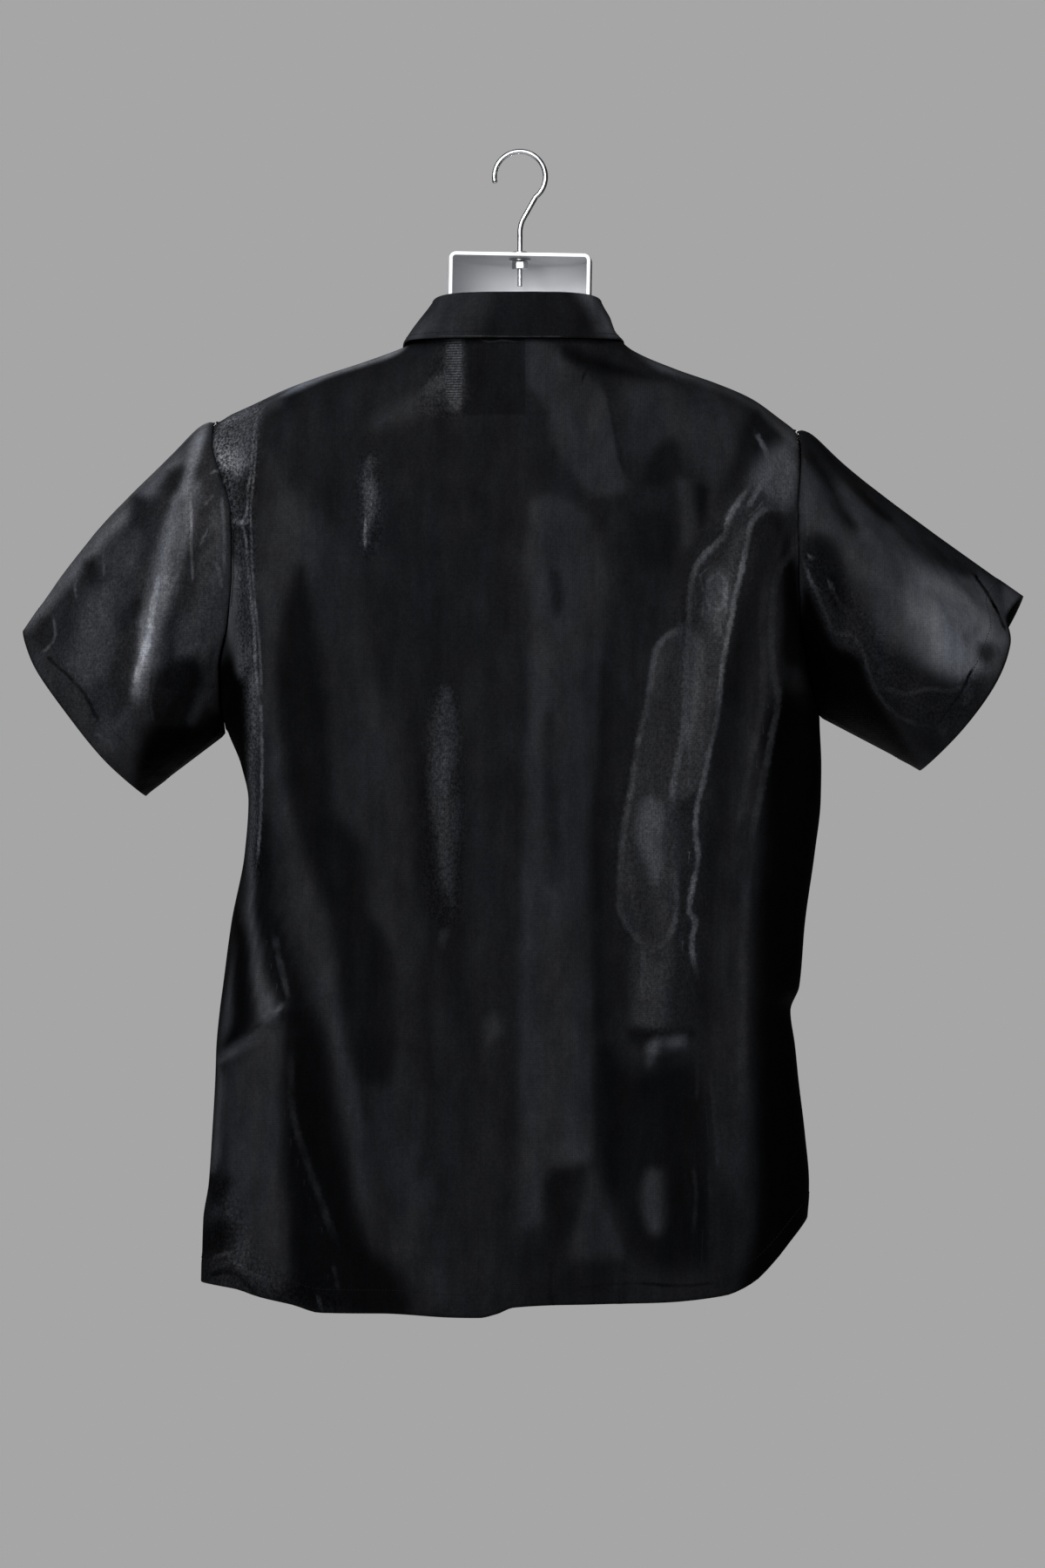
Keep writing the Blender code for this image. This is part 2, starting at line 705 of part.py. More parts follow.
def panel_normal(face, x, z):
    reach = 0.002
    across = panel_place(face, x + reach, z) - panel_place(face, x - reach, z)
    down = panel_place(face, x, z - reach) - panel_place(face, x, z + reach)
    normal = across.cross(down).normalized()
    return normal if normal.y * face > 0 else -normal


# ---- Sleeves ----


def sleeve_ring(side):
    """The armhole's edge, from the shoulder tip down the back and up the front."""
    rises = [level - 1 for level in body_levels()[HEM_ROWS:]]
    back = [upper_point(BACK, side, rise) for rise in rises]
    front = [upper_point(FRONT, side, rise) for rise in rises]
    underarm, tip = (back[0] + front[0]) / 2, (back[-1] + front[-1]) / 2
    ring = [tip, *reversed(back[1:-1]), underarm, *front[1:-1]]
    return [point + Vector((side * SLEEVE_GAP, 0, SLEEVE_GAP / 3)) for point in ring]


def closed_curve(rows, turn):
    """A smooth closed curve through rows that have the hem columns."""
    named = [dict(zip(HEM_COLUMNS, row)) for row in rows]
    knots = [row["turn"] for row in named] + [1.0]
    points = [Vector((row["x"], row["y"], row["z"])) for row in named]
    turn %= 1.0
    low = max(i for i in range(len(rows)) if knots[i] <= turn)
    share = (turn - knots[low]) / (knots[low + 1] - knots[low])
    count = len(points)
    before, start = points[low - 1], points[low]
    end, after = points[(low + 1) % count], points[(low + 2) % count]
    return hermite(start, end, (end - before) / 2, (after - start) / 2, share)


def make_sleeve(collection, side):
    name = f"sleeve_{side_name(side)}"
    ring = sleeve_ring(side)
    count = len(ring)
    hem = [closed_curve(SLEEVE_HEMS[side], j / count) for j in range(count)]
    along = (hem[0] + hem[count // 2] - ring[0] - ring[count // 2]).normalized()
    upward = Vector((-along.z, 0, along.x)) * side

    def place(column, row):
        share = row / SLEEVE_ROWS
        turn = 2 * math.pi * column / count
        middle = math.sin(math.pi * share)
        point = ring[column].lerp(hem[column], share)
        point += upward * SLEEVE_TOP_CROWN[side] * middle * max(0.0, math.cos(turn)) ** 2
        point.y += SLEEVE_SIDE_CROWN * middle * math.sin(turn)
        face = BACK if math.sin(turn) >= 0 else FRONT
        fade = smooth(0, 0.2, share) * abs(math.sin(turn)) ** 0.7
        point.y += face * fade * fold_rise(SLEEVE_FOLDS[side, face], point.x, point.z)
        return point

    def inside(point):
        centre = (hem[0] + hem[count // 2]) / 2
        base = (ring[0] + ring[count // 2]) / 2
        share = (point - base).dot(centre - base) / (centre - base).length_squared
        return base.lerp(centre, share)

    mesh = sheet(name, SLEEVE_ROWS, count, place, inside, closed=True)
    thicken(new_object(name, mesh, collection, "satin"), CLOTH)


# ---- Collar ----


def collar_face(turn):
    """Which half of the neckline a turn in degrees from the back lies on, and its share there."""
    side = 1 if turn >= 0 else -1
    if abs(turn) <= 90:
        return BACK, turn / 90
    return FRONT, side * (180 - abs(turn)) / 90


def neckline_turns():
    """The turns of the panels' columns along the neckline, from one end of the stand to the other."""
    lap = share_at(FRONT, LAP, 2.0)
    back = [90 * i / NECK_COLUMNS for i in range(1, NECK_COLUMNS + 1)]
    shares = [front_share(i, lap) for i in range(LAP_COLUMNS + NECK_COLUMNS)]
    front = [180 - 90 * share / NECK_SHARE[FRONT] for share in reversed(shares)]
    half = back + front
    return [-turn for turn in reversed(half)] + [0.0] + half


def collar_turns():
    """The neckline's turns, with one more between each two."""
    turns = neckline_turns()
    middles = [(low + high) / 2 for low, high in zip(turns, turns[1:])]
    return sorted(turns + middles)


def stand_base(turn):
    """A place on the straight runs between the panels' own points, just above their edge."""
    turns = neckline_turns()
    high = min(i for i in range(1, len(turns)) if turns[i] >= turn - 1e-6)
    start, end = (neckline_point(*collar_face(turns[i])) for i in (high - 1, high))
    share = (turn - turns[high - 1]) / (turns[high] - turns[high - 1])
    return start.lerp(end, share) + Vector((0, 0, STAND_GAP))


def stand_top(turn):
    face, share = collar_face(turn)
    across, depth = bow(abs(share), STAND_TOP_SQUARENESS[face])
    x = side_of(share) * STAND_TOP_HALF_WIDTH * across
    y = NECK_POINT_Y + face * STAND_TOP_DEPTH[face] * depth
    z = lerp(STAND_TOP_Z["side"], STAND_TOP_Z[face], depth**NECKLINE_DROP)
    return Vector((x, y, z))


def neck_outward(curve, turn):
    """The level direction away from the neck at a turn of one of its rings."""
    run = curve(turn + 0.5) - curve(turn - 0.5)
    return Vector((run.y, -run.x, 0)).normalized() * -1


def stand_lift(turn):
    """How far the stand's left end stands out to pass over its right end."""
    return LAP_STEP * smooth(*STAND_LAP_TURNS, turn)


def stand_point(turn, share):
    point = stand_base(turn).lerp(stand_top(turn), share)
    return point + neck_outward(stand_top, turn) * stand_lift(turn)


def make_stand(collection):
    # Its ends reach half as far past the centre as the fronts do
    turns = collar_turns()[1:-1]

    def place(column, row):
        return stand_point(turns[column], row / STAND_ROWS)

    mesh = sheet("collar_stand", STAND_ROWS, len(turns) - 1, place, neck_axis)
    thicken(new_object("collar_stand", mesh, collection, "satin"), CLOTH)


def neck_axis(point):
    return Vector((0.0, NECK_POINT_Y, point.z))


def leaf_profile():
    """(out, up) from the stand's top edge: up its inner face and over to the outer side."""
    radius = (2 * CLOTH + LEAF_FOLD_GAP) / 2
    centre = radius - CLOTH
    foot = (-CLOTH, LEAF_GAP)
    arc = [
        (centre + radius * math.cos(angle), radius + radius * math.sin(angle))
        for angle in (math.radians(a) for a in (180, 135, 90, 45, 0))
    ]
    return [foot, *arc]


def leaf_point(turn, row):
    profile = leaf_profile()
    outward = neck_outward(stand_top, turn)
    crest = stand_top(turn) + outward * stand_lift(turn)
    if row < len(profile):
        out, up = profile[row]
        return crest + outward * out + Vector((0, 0, up))
    out, up = profile[-1]
    start = crest + outward * out + Vector((0, 0, up))
    share = (row - len(profile) + 1) / LEAF_ROWS
    size = abs(turn)
    edge = Vector(
        (
            side_of(turn) * LEAF_EDGE.at(size, "out") + LEAF_SHIFT,
            LEAF_EDGE.at(size, "y"),
            LEAF_EDGE.at(size, "z"),
        )
    )
    point = start.lerp(edge, share) + outward * LEAF_CROWN * math.sin(math.pi * share)
    return clear_of_panel(BACK if size < 90 else FRONT, point)


def clear_of_panel(face, point):
    """The point moved out of a body panel until a layer of cloth fits between."""
    for _ in range(3):
        panel = panel_place(face, point.x, point.z)
        if abs(panel.z - point.z) > 0.001:
            return point
        normal = panel_normal(face, point.x, point.z)
        short = LEAF_CLEARANCE - (point - panel).dot(normal)
        if short <= 0:
            return point
        point = point + normal * short
    return point


def make_leaf(collection):
    rows = len(leaf_profile()) - 1 + LEAF_ROWS
    lap = collar_turns()[-1] - 180
    end = 180 - LEAF_END * lap
    turns = [-end, *(turn for turn in collar_turns() if abs(turn) < end - 0.1), end]

    def place(column, row):
        return leaf_point(turns[column], row)

    mesh = sheet("collar_leaf", rows, len(turns) - 1, place, neck_axis)
    thicken(new_object("collar_leaf", mesh, collection, "satin"), CLOTH)


# ---- Buttons ----


def button_mesh(name):
    """A round button with a raised rim, turned about its axis."""
    mesh = bpy.data.meshes.new(name)
    shape = bmesh.new()
    dish = BUTTON_HEIGHT * 0.35
    profile = (
        (0.0, 0.0),
        (BUTTON_RADIUS * 0.86, 0.0),
        (BUTTON_RADIUS, BUTTON_HEIGHT * 0.45),
        (BUTTON_RADIUS * 0.94, BUTTON_HEIGHT),
        (BUTTON_RADIUS - BUTTON_RIM, BUTTON_HEIGHT),
        (BUTTON_RADIUS - BUTTON_RIM * 1.6, BUTTON_HEIGHT - dish),
        (0.0, BUTTON_HEIGHT - dish),
    )
    points = [shape.verts.new((out, 0, up)) for out, up in reversed(profile)]
    edges = [shape.edges.new(pair) for pair in zip(points, points[1:])]
    bmesh.ops.spin(
        shape, geom=[*points, *edges], cent=(0, 0, 0), axis=(0, 0, 1),
        angle=2 * math.pi, steps=BUTTON_SIDES, use_duplicate=False,
    )
    bmesh.ops.remove_doubles(shape, verts=shape.verts, dist=1e-6)
    bmesh.ops.recalc_face_normals(shape, faces=shape.faces)
    shape.to_mesh(mesh)
    shape.free()
    return mesh


def set_button(collection, name, place, normal):
    button = new_object(name, button_mesh(name), collection, "button")
    button.matrix_world = Matrix.Translation(place + normal * SEAM_GAP) @ (
        Vector((0, 0, 1)).rotation_difference(normal).to_matrix().to_4x4()
    )


def placket_at_height(z):
    low, high = 0.0, 2.0
    for _ in range(24):
        level = (low + high) / 2
        if placket_point(0, level).z < z:
            low = level
        else:
            high = level
    return placket_point(0, low)


def make_buttons(collection):
    for i in range(BUTTON_COUNT):
        z = TOP_BUTTON_Z - i * BUTTON_PITCH
        above = placket_at_height(z + BUTTON_RADIUS)
        below = placket_at_height(z - BUTTON_RADIUS)
        run = above - below
        normal = Vector((0, -run.z, run.y)).normalized()
        place = (above + below) / 2
        place.y = min(place.y, placket_at_height(z).y) - BUTTON_STANDOFF
        set_button(collection, f"button_{i + 1}", place, normal)
    low, high = stand_point(180, 0.2), stand_point(180, 0.8)
    run = high - low
    normal = Vector((0, -run.z, run.y)).normalized()
    place = (low + high) / 2 + normal * BUTTON_STANDOFF
    set_button(collection, "button_7", place, normal)


# ---- Hanging form ----


def form_curve(height, share, inset=0.0):
    """The form's open ring: share 0 is its front middle and 1 or -1 its open back edge."""
    half = FORM.at(height, "half") - inset
    front = FORM.at(height, "front") + inset
    edge = FORM.at(height, "edge")
    side, out = side_of(share), abs(share)
    if out <= FORM_FRONT_SHARE:
        across, depth = bow(out / FORM_FRONT_SHARE, FORM.at(height, "square"))
        return Vector((side * half * across, FORM_CENTRE_Y + (front - FORM_CENTRE_Y) * depth, height))
    back = (out - FORM_FRONT_SHARE) / (1 - FORM_FRONT_SHARE)
    x = half - FORM.at(height, "turn_in") * back**2
    return Vector((side * x, lerp(FORM_CENTRE_Y, edge, back), height))


def tilted(point):
    """The form hangs a little down on the wearer's right, about its hook's hole."""
    pivot = Vector((0, 0, FORM_TOP_Z))
    return pivot + Matrix.Rotation(-FORM_TILT, 3, "Y") @ (point - pivot)


def form_rows():
    """Each row as (height, inset, how far the top plate has closed)."""
    rows = []
    for low, high, steps in FORM_SPANS:
        rows += [(lerp(low, high, i / steps), 0, 0) for i in range(steps)]
    for degrees in FORM_EDGE_DEGREES:
        angle = math.radians(degrees)
        inset = FORM_EDGE_RADIUS * (1 - math.cos(angle))
        rows.append((FORM_TOP_Z - FORM_EDGE_RADIUS * (1 - math.sin(angle)), inset, 0))
    rows += [(FORM_TOP_Z, FORM_EDGE_RADIUS, 0.5), (FORM_TOP_Z, FORM_EDGE_RADIUS, 1.0)]
    return rows


def make_form(collection, cutters):
    rows = form_rows()

    def place(column, row):
        height, inset, closing = rows[row]
        share = 2 * column / FORM_COLUMNS - 1
        point = form_curve(height, share, inset)
        end = form_curve(height, 1.0, inset)
        shut = Vector((share * end.x, end.y, height))
        return tilted(point.lerp(shut, closing))

    def inside(point):
        return Vector((0, FORM_CENTRE_Y + 0.03, min(point.z, FORM_TOP_Z - 0.02)))

    mesh = sheet("form_shell", len(rows) - 1, FORM_COLUMNS, place, inside)
    shell = new_object("form_shell", mesh, collection, "form")
    thicken(shell, FORM_WALL)
    bpy.ops.mesh.primitive_cylinder_add(
        vertices=HOOK_HOLE_SIDES, radius=HOOK_WIRE + SEAM_GAP,
        depth=HOOK_HOLE_DEPTH, location=(0, 0, FORM_TOP_Z),
    )
    drill = bpy.context.active_object
    drill.name = "hook_hole"
    drill.hide_render = True
    drill.display_type = "WIRE"
    for holder in list(drill.users_collection):
        holder.objects.unlink(drill)
    cutters.objects.link(drill)
    hole = shell.modifiers.new("Hole", "BOOLEAN")
    hole.object = drill
    hole.operation = "DIFFERENCE"


def hook_points():
    """The wire's centre line, from its foot up the stem and round the hook to the tip."""
    radius = HOOK_INNER_RADIUS + HOOK_WIRE
    centre = Vector((0, 0, -HOOK_INNER_RADIUS))
    stem = [Vector((0, 0, z)) for z in HOOK_STEM_Z]
    bend = [Vector((x, 0, z)) for x, z in HOOK_SWAN_NECK]
    arc = []
    for i in range(HOOK_ARC_STEPS + 1):
        angle = math.radians(lerp(*HOOK_ARC_DEGREES, i / HOOK_ARC_STEPS))
        arc.append(centre + Vector((math.cos(angle), 0, math.sin(angle))) * radius)
    return stem + bend + arc


def make_hook(collection):
    curve = bpy.data.curves.new("hook_wire", "CURVE")
    curve.dimensions = "3D"
    curve.bevel_depth = HOOK_WIRE
    curve.bevel_resolution = 2
    curve.use_fill_caps = True
    spline = curve.splines.new("POLY")
    points = hook_points()
    spline.points.add(len(points) - 1)
    for knot, point in zip(spline.points, points):
        knot.co = (*point, 1)
    new_object("hook", curve, collection, "steel")


def ring_solid(name, outer, inner, low, height, sides, collection):
    """A flat ring standing on low: a washer, a flange or, with six sides, a nut."""
    mesh = bpy.data.meshes.new(name)
    shape = bmesh.new()
    profile = ((inner, low), (outer, low), (outer, low + height), (inner, low + height))
    points = [shape.verts.new((out, 0, up)) for out, up in profile]
    edges = [shape.edges.new((points[i], points[(i + 1) % 4])) for i in range(4)]
    bmesh.ops.spin(
        shape, geom=[*points, *edges], cent=(0, 0, 0), axis=(0, 0, 1),
        angle=2 * math.pi, steps=sides, use_duplicate=False,
    )
    bmesh.ops.remove_doubles(shape, verts=shape.verts, dist=1e-6)
    bmesh.ops.recalc_face_normals(shape, faces=shape.faces)
    shape.to_mesh(mesh)
    shape.free()
    new_object(name, mesh, collection, "steel")


def make_fastening(collection):
    bore = HOOK_WIRE + SEAM_GAP
    under_plate = FORM_TOP_Z - FORM_WALL - SEAM_GAP
    washer_low = under_plate - WASHER_HEIGHT
    ring_solid(
        "hook_washer", WASHER_RADIUS, bore, washer_low, WASHER_HEIGHT, WASHER_SIDES, collection
    )
    nut_low = washer_low - SEAM_GAP - NUT_HEIGHT
    # A six-sided ring's inner flats must clear the round stem
    nut_bore = bore / math.cos(math.pi / NUT_SIDES)
    corner = NUT_ACROSS_FLATS / 2 / math.cos(math.pi / NUT_SIDES)
    ring_solid("hook_nut", corner, nut_bore, nut_low, NUT_HEIGHT, NUT_SIDES, collection)
    flange_low = FORM_TOP_Z + SEAM_GAP
    ring_solid(
        "hook_flange", HOOK_FLANGE_RADIUS, bore, flange_low, HOOK_FLANGE_HEIGHT, FLANGE_SIDES,
        collection,
    )


def main():
    clear_scene()
    shirt = bpy.data.collections.new("barong_on_form")
    cutters = bpy.data.collections.new("cutters")
    bpy.context.scene.collection.children.link(shirt)
    bpy.context.scene.collection.children.link(cutters)
    make_back(shirt)
    make_front(shirt, LEFT)
    make_front(shirt, RIGHT)
    make_placket(shirt)
    make_label(shirt)
    make_sleeve(shirt, LEFT)
    make_sleeve(shirt, RIGHT)
    make_stand(shirt)
    make_leaf(shirt)
    make_buttons(shirt)
    make_form(shirt, cutters)
    make_hook(shirt)
    make_fastening(shirt)


main()
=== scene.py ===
import math

import bmesh
import bpy
import numpy as np
from mathutils import Matrix, Vector, noise
from mathutils.bvhtree import BVHTree


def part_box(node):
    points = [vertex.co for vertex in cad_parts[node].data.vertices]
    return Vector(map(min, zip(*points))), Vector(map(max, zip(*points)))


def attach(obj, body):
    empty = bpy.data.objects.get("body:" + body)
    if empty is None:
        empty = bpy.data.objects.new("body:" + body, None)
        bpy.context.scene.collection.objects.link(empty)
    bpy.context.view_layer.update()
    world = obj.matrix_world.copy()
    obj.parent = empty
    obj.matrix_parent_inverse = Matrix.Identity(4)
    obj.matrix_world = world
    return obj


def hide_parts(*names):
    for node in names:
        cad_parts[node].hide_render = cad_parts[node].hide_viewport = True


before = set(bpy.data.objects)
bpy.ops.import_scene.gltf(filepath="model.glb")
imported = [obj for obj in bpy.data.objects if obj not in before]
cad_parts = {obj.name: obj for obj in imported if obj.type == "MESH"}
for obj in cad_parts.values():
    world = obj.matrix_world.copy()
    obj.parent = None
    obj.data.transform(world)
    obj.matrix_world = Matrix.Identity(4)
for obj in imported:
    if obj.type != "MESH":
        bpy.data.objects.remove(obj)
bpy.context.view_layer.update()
mm = 0.001
print("frame loaded, nodes:", len(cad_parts))


# Small number helpers, all of them taking single numbers or arrays

def lerp(first, last, share):
    return first + (last - first) * share


def smooth(low, high, value):
    share = np.clip((value - low) / (high - low), 0.0, 1.0)
    return share * share * (3 - 2 * share)


def hermite(first, last, start, end, share):
    square, cube = share**2, share**3
    return (
        first * (2 * cube - 3 * square + 1)
        + start * (cube - 2 * square + share)
        + last * (3 * square - 2 * cube)
        + end * (cube - square)
    )


def stacked(x, y, z):
    return np.stack(np.broadcast_arrays(x, y, z), axis=-1).astype(float)


def unit(vectors):
    length = np.linalg.norm(vectors, axis=-1, keepdims=True)
    return vectors / np.maximum(length, 1e-12)


class Table:
    # Rows of named columns, read with a smooth curve that never overshoots them

    def __init__(self, columns, rows):
        rows = np.array(sorted(rows), float)
        self.keys = rows[:, 0]
        self.values = dict(zip(columns[1:], rows[:, 1:].T))

    def slopes(self, values):
        steps = np.diff(values) / np.diff(self.keys)
        before, after = steps[:-1], steps[1:]
        total = np.where(before + after == 0, 1.0, before + after)
        inner = np.where(before * after > 0, 2 * before * after / total, 0.0)
        return np.concatenate(([steps[0]], inner, [0.0]))

    def at(self, key, column):
        values = self.values[column]
        slopes = self.slopes(values)
        key = np.clip(key, self.keys[0], self.keys[-1])
        low = np.clip(np.searchsorted(self.keys, key, side="right") - 1, 0, len(self.keys) - 2)
        span = self.keys[low + 1] - self.keys[low]
        share = (key - self.keys[low]) / span
        return hermite(
            values[low], values[low + 1], slopes[low] * span, slopes[low + 1] * span, share
        )


def sided(left, right, share):
    # One value for the wearer's left, where share is positive, and one for the right
    return np.where(np.asarray(share) >= 0, left, right)


def sideOf(share):
    return sided(1.0, -1.0, share)


def travelled(line):
    # Distance along a line of points, from its start to each of them
    steps = np.linalg.norm(np.diff(line, axis=0), axis=1)
    return np.concatenate(([0], np.cumsum(steps)))


view = {
    "distance": 4.5,
    "frameHeight": 1.224,       # metres seen from top to bottom of the picture
    "aim": (-0.002, 0.020, -0.494),
    "sensor": 36.0,
    "clipEnd": 40,
}
stageSetting = {
    "floorZ": -2.2,
    "floorRadius": 3.0,
    "floorColor": (0.40, 0.40, 0.40),
    "floorRoughness": 0.9,
    "backdrop": 0.381,
    "roomLight": 0.012,          # how bright the room is beside its lamps
}
lights = {
    "key": {"place": (2.0, 2.9, 1.3), "size": (1.5, 1.5), "power": 105},
    "top": {"place": (-0.1, 3.0, 2.0), "size": (1.8, 1.4), "power": 75},
    "fill": {"place": (0.9, 4.1, 0.3), "size": (1.6, 1.6), "power": 85},
    "behind": {"place": (0.0, -8.6, -0.37), "size": (0.8, 0.8), "power": 850},
}


def addObject(name, data, *materials):
    thing = bpy.data.objects.new(name, data)
    bpy.context.scene.collection.objects.link(thing)
    for material in materials:
        data.materials.append(material)
    return thing


def meshFrom(name, shape, merged=False):
    if merged:
        bmesh.ops.remove_doubles(shape, verts=shape.verts, dist=1e-6)
        bmesh.ops.recalc_face_normals(shape, faces=shape.faces)
    mesh = bpy.data.meshes.new(name)
    shape.to_mesh(mesh)
    shape.free()
    mesh.shade_smooth()
    return mesh


def turnedMesh(name, profile, sides, closed=False):
    # A profile of distances from the upright axis and heights, turned once round it
    shape = bmesh.new()
    points = [shape.verts.new((out, 0, up)) for out, up in profile]
    ring = points + points[:1] if closed else points
    edges = [shape.edges.new(pair) for pair in zip(ring, ring[1:])]
    bmesh.ops.spin(
        shape, geom=[*points, *edges], cent=(0, 0, 0), axis=(0, 0, 1),
        angle=math.tau, steps=sides, use_duplicate=False,
    )
    return meshFrom(name, shape, merged=True)


def addEdges(piece, name, width, segments, angle):
    edges = piece.modifiers.new(name, "BEVEL")
    edges.width = width
    edges.segments = segments
    edges.angle_limit = math.radians(angle)


def makeCamera():
    data = bpy.data.cameras.new("camera")
    data.sensor_width = view["sensor"]
    data.lens = view["sensor"] * view["distance"] / view["frameHeight"]
    data.clip_end = view["clipEnd"]
    camera = addObject("camera", data)
    camera.location = Vector(view["aim"]) + Vector((0, view["distance"], 0))
    camera.rotation_euler = (math.pi / 2, 0, math.pi)
    bpy.context.scene.camera = camera


def makeLight(name, place, size, power):
    data = bpy.data.lights.new(name, "AREA")
    data.shape = "RECTANGLE"
    data.size, data.size_y = size
    data.energy = power
    light = addObject(name, data)
    light.location = place
    aim = Vector(view["aim"]) - Vector(place)
    light.rotation_euler = aim.to_track_quat("-Z", "Y").to_euler()


def makeStage():
    world = bpy.data.worlds.new("studio")
    world.use_nodes = True
    bpy.context.scene.world = world
    tree = world.node_tree
    shade = tree.nodes["Background"]
    path = tree.nodes.new("ShaderNodeLightPath")
    brightness = tree.nodes.new("ShaderNodeMapRange")
    brightness.inputs["To Min"].default_value = stageSetting["roomLight"]
    brightness.inputs["To Max"].default_value = stageSetting["backdrop"]
    tree.links.new(path.outputs["Is Camera Ray"], brightness.inputs["Value"])
    tree.links.new(brightness.outputs["Result"], shade.inputs["Strength"])
    shade.inputs["Color"].default_value = (1, 1, 1, 1)
    disc = bmesh.new()
    bmesh.ops.create_circle(disc, cap_ends=True, segments=96, radius=stageSetting["floorRadius"])
    paint = newMaterial("floorPaint", stageSetting["floorColor"], stageSetting["floorRoughness"])
    floor = addObject("floor", meshFrom("floor", disc), paint)
    floor.location.z = stageSetting["floorZ"]


def newMaterial(name, color, roughness, metallic=0.0, specular=0.5):
    material = bpy.data.materials.new(name)
    material.use_nodes = True
    shader = material.node_tree.nodes["Principled BSDF"]
    values = {"Roughness": roughness, "Metallic": metallic, "Specular IOR Level": specular}
    for socket, value in {"Base Color": (*color, 1), **values}.items():
        shader.inputs[socket].default_value = value
    return material


def finish(name, wear=None, grain=None, **look):
    # A plain material, with wear in its gloss and grain in its surface where it has them
    material = newMaterial(name, **look)
    nodes = Nodes(material)
    if wear:
        nodes.feed("Roughness", nodes.math("MULTIPLY_ADD", nodes.noise(*wear[:2]), *wear[2:]))
    if grain:
        nodes.feed("Normal", nodes.bump(nodes.noise(*grain[1:]), grain[0]))
    return material


class Nodes:
    # A short way to add and join a material's nodes

    def __init__(self, material):
        self.tree = material.node_tree
        self.shader = self.tree.nodes["Principled BSDF"]

    def feed(self, socket, source):
        self.tree.links.new(source, self.shader.inputs[socket])

    def add(self, kind, links=(), **values):
        node = self.tree.nodes.new(kind)
        for name, value in values.items():
            if hasattr(node, name):
                setattr(node, name, value)
            else:
                node.inputs[name.replace("_", " ")].default_value = value
        for socket, source in dict(links).items():
            self.tree.links.new(source, node.inputs[socket])
        return node

    def math(self, operation, *values, clamp=False):
        node = self.add("ShaderNodeMath", operation=operation, use_clamp=clamp)
        for socket, value in zip(node.inputs, values):
            if isinstance(value, (int, float)):
                socket.default_value = value
            else:
                self.tree.links.new(value, socket)
        return node.outputs[0]

    def ramp(self, value, low, high, first=0.0, last=1.0):
        return self.add(
            "ShaderNodeMapRange", {"Value": value}, interpolation_type="SMOOTHSTEP",
            From_Min=low, From_Max=high, To_Min=first, To_Max=last,
        ).outputs["Result"]

    def band(self, value, low, high, soft):
        # 1 between low and high, with soft edges
        up = self.ramp(value, low - soft, low + soft)
        down = self.ramp(value, high - soft, high + soft)
        return self.math("SUBTRACT", up, down, clamp=True)

    def split(self, vector):
        return self.add("ShaderNodeSeparateXYZ", {"Vector": vector}).outputs

    def layer(self, attribute):
        source = self.add("ShaderNodeAttribute", attribute_name=attribute)
        return self.split(source.outputs["Vector"])

    def position(self, scale=(1, 1, 1)):
        links = {"Vector": self.add("ShaderNodeTexCoord").outputs["Object"]}
        return self.add("ShaderNodeMapping", links, Scale=scale).outputs["Vector"]

    def noise(self, scale, detail, stretch=(1, 1, 1), roughness=0.5):
        return self.add(
            "ShaderNodeTexNoise", {"Vector": self.position(stretch)},
            Scale=scale, Detail=detail, Roughness=roughness,
        ).outputs["Fac"]

    def swing(self, pattern):
        return self.math("SUBTRACT", self.noise(*pattern), 0.5)

    def bump(self, height, depth, under=None):
        links = {"Height": height, **({"Normal": under} if under else {})}
        return self.add("ShaderNodeBump", links, Distance=depth).outputs["Normal"]


clothLook = {
    "tints": ((0.895, 0.96, 1.14), (0.94, 0.968, 1.08)),
    "strength": 0.74,           # brings the painted levels to the light of the room
    "displayCurve": 2.2,
    "roughness": 0.50,
    "shinyRoughness": 0.34,
    "specular": 0.30,
    "glossLevels": (0.08, 0.56),
    "shineLevels": (0.05, 0.40),
    "driftLevels": (0.36, 0.62),
    "lineWobble": 1.6,
    "lineEdge": (1.35, 0.25),
    "lineBreaks": (2.4, -0.25),
    "lineLeast": 0.1,           # what is left of a line where it breaks
    "weavePitch": 1.1 * mm,
    "weaveDepth": 0.10 * mm,
    "crumpleDepth": 0.8 * mm,
    "leastCrumple": 0.10,
    "glitter": 2.3,
    "mottle": 0.50,
    "streaks": 0.32,
}
# Scale and detail of each noise, how it is stretched, and its roughness
clothNoise = {
    "wobble": (260, 3, (1, 1, 1), 0.6),
    "broken": (70, 3),
    "streak": (60, 3, (1, 1, 0.07), 0.6),
    "cloud": (55, 4, (1, 1, 0.45), 0.6),
    "speck": (520, 3, (1, 1, 0.8), 0.8),
    "drift": (26, 3, (1, 1, 0.35), 0.6),
    "slub": (300, 2, (0.12, 0.12, 1)),
    "crumple": (95, 5, (1, 1, 0.8), 0.62),
}


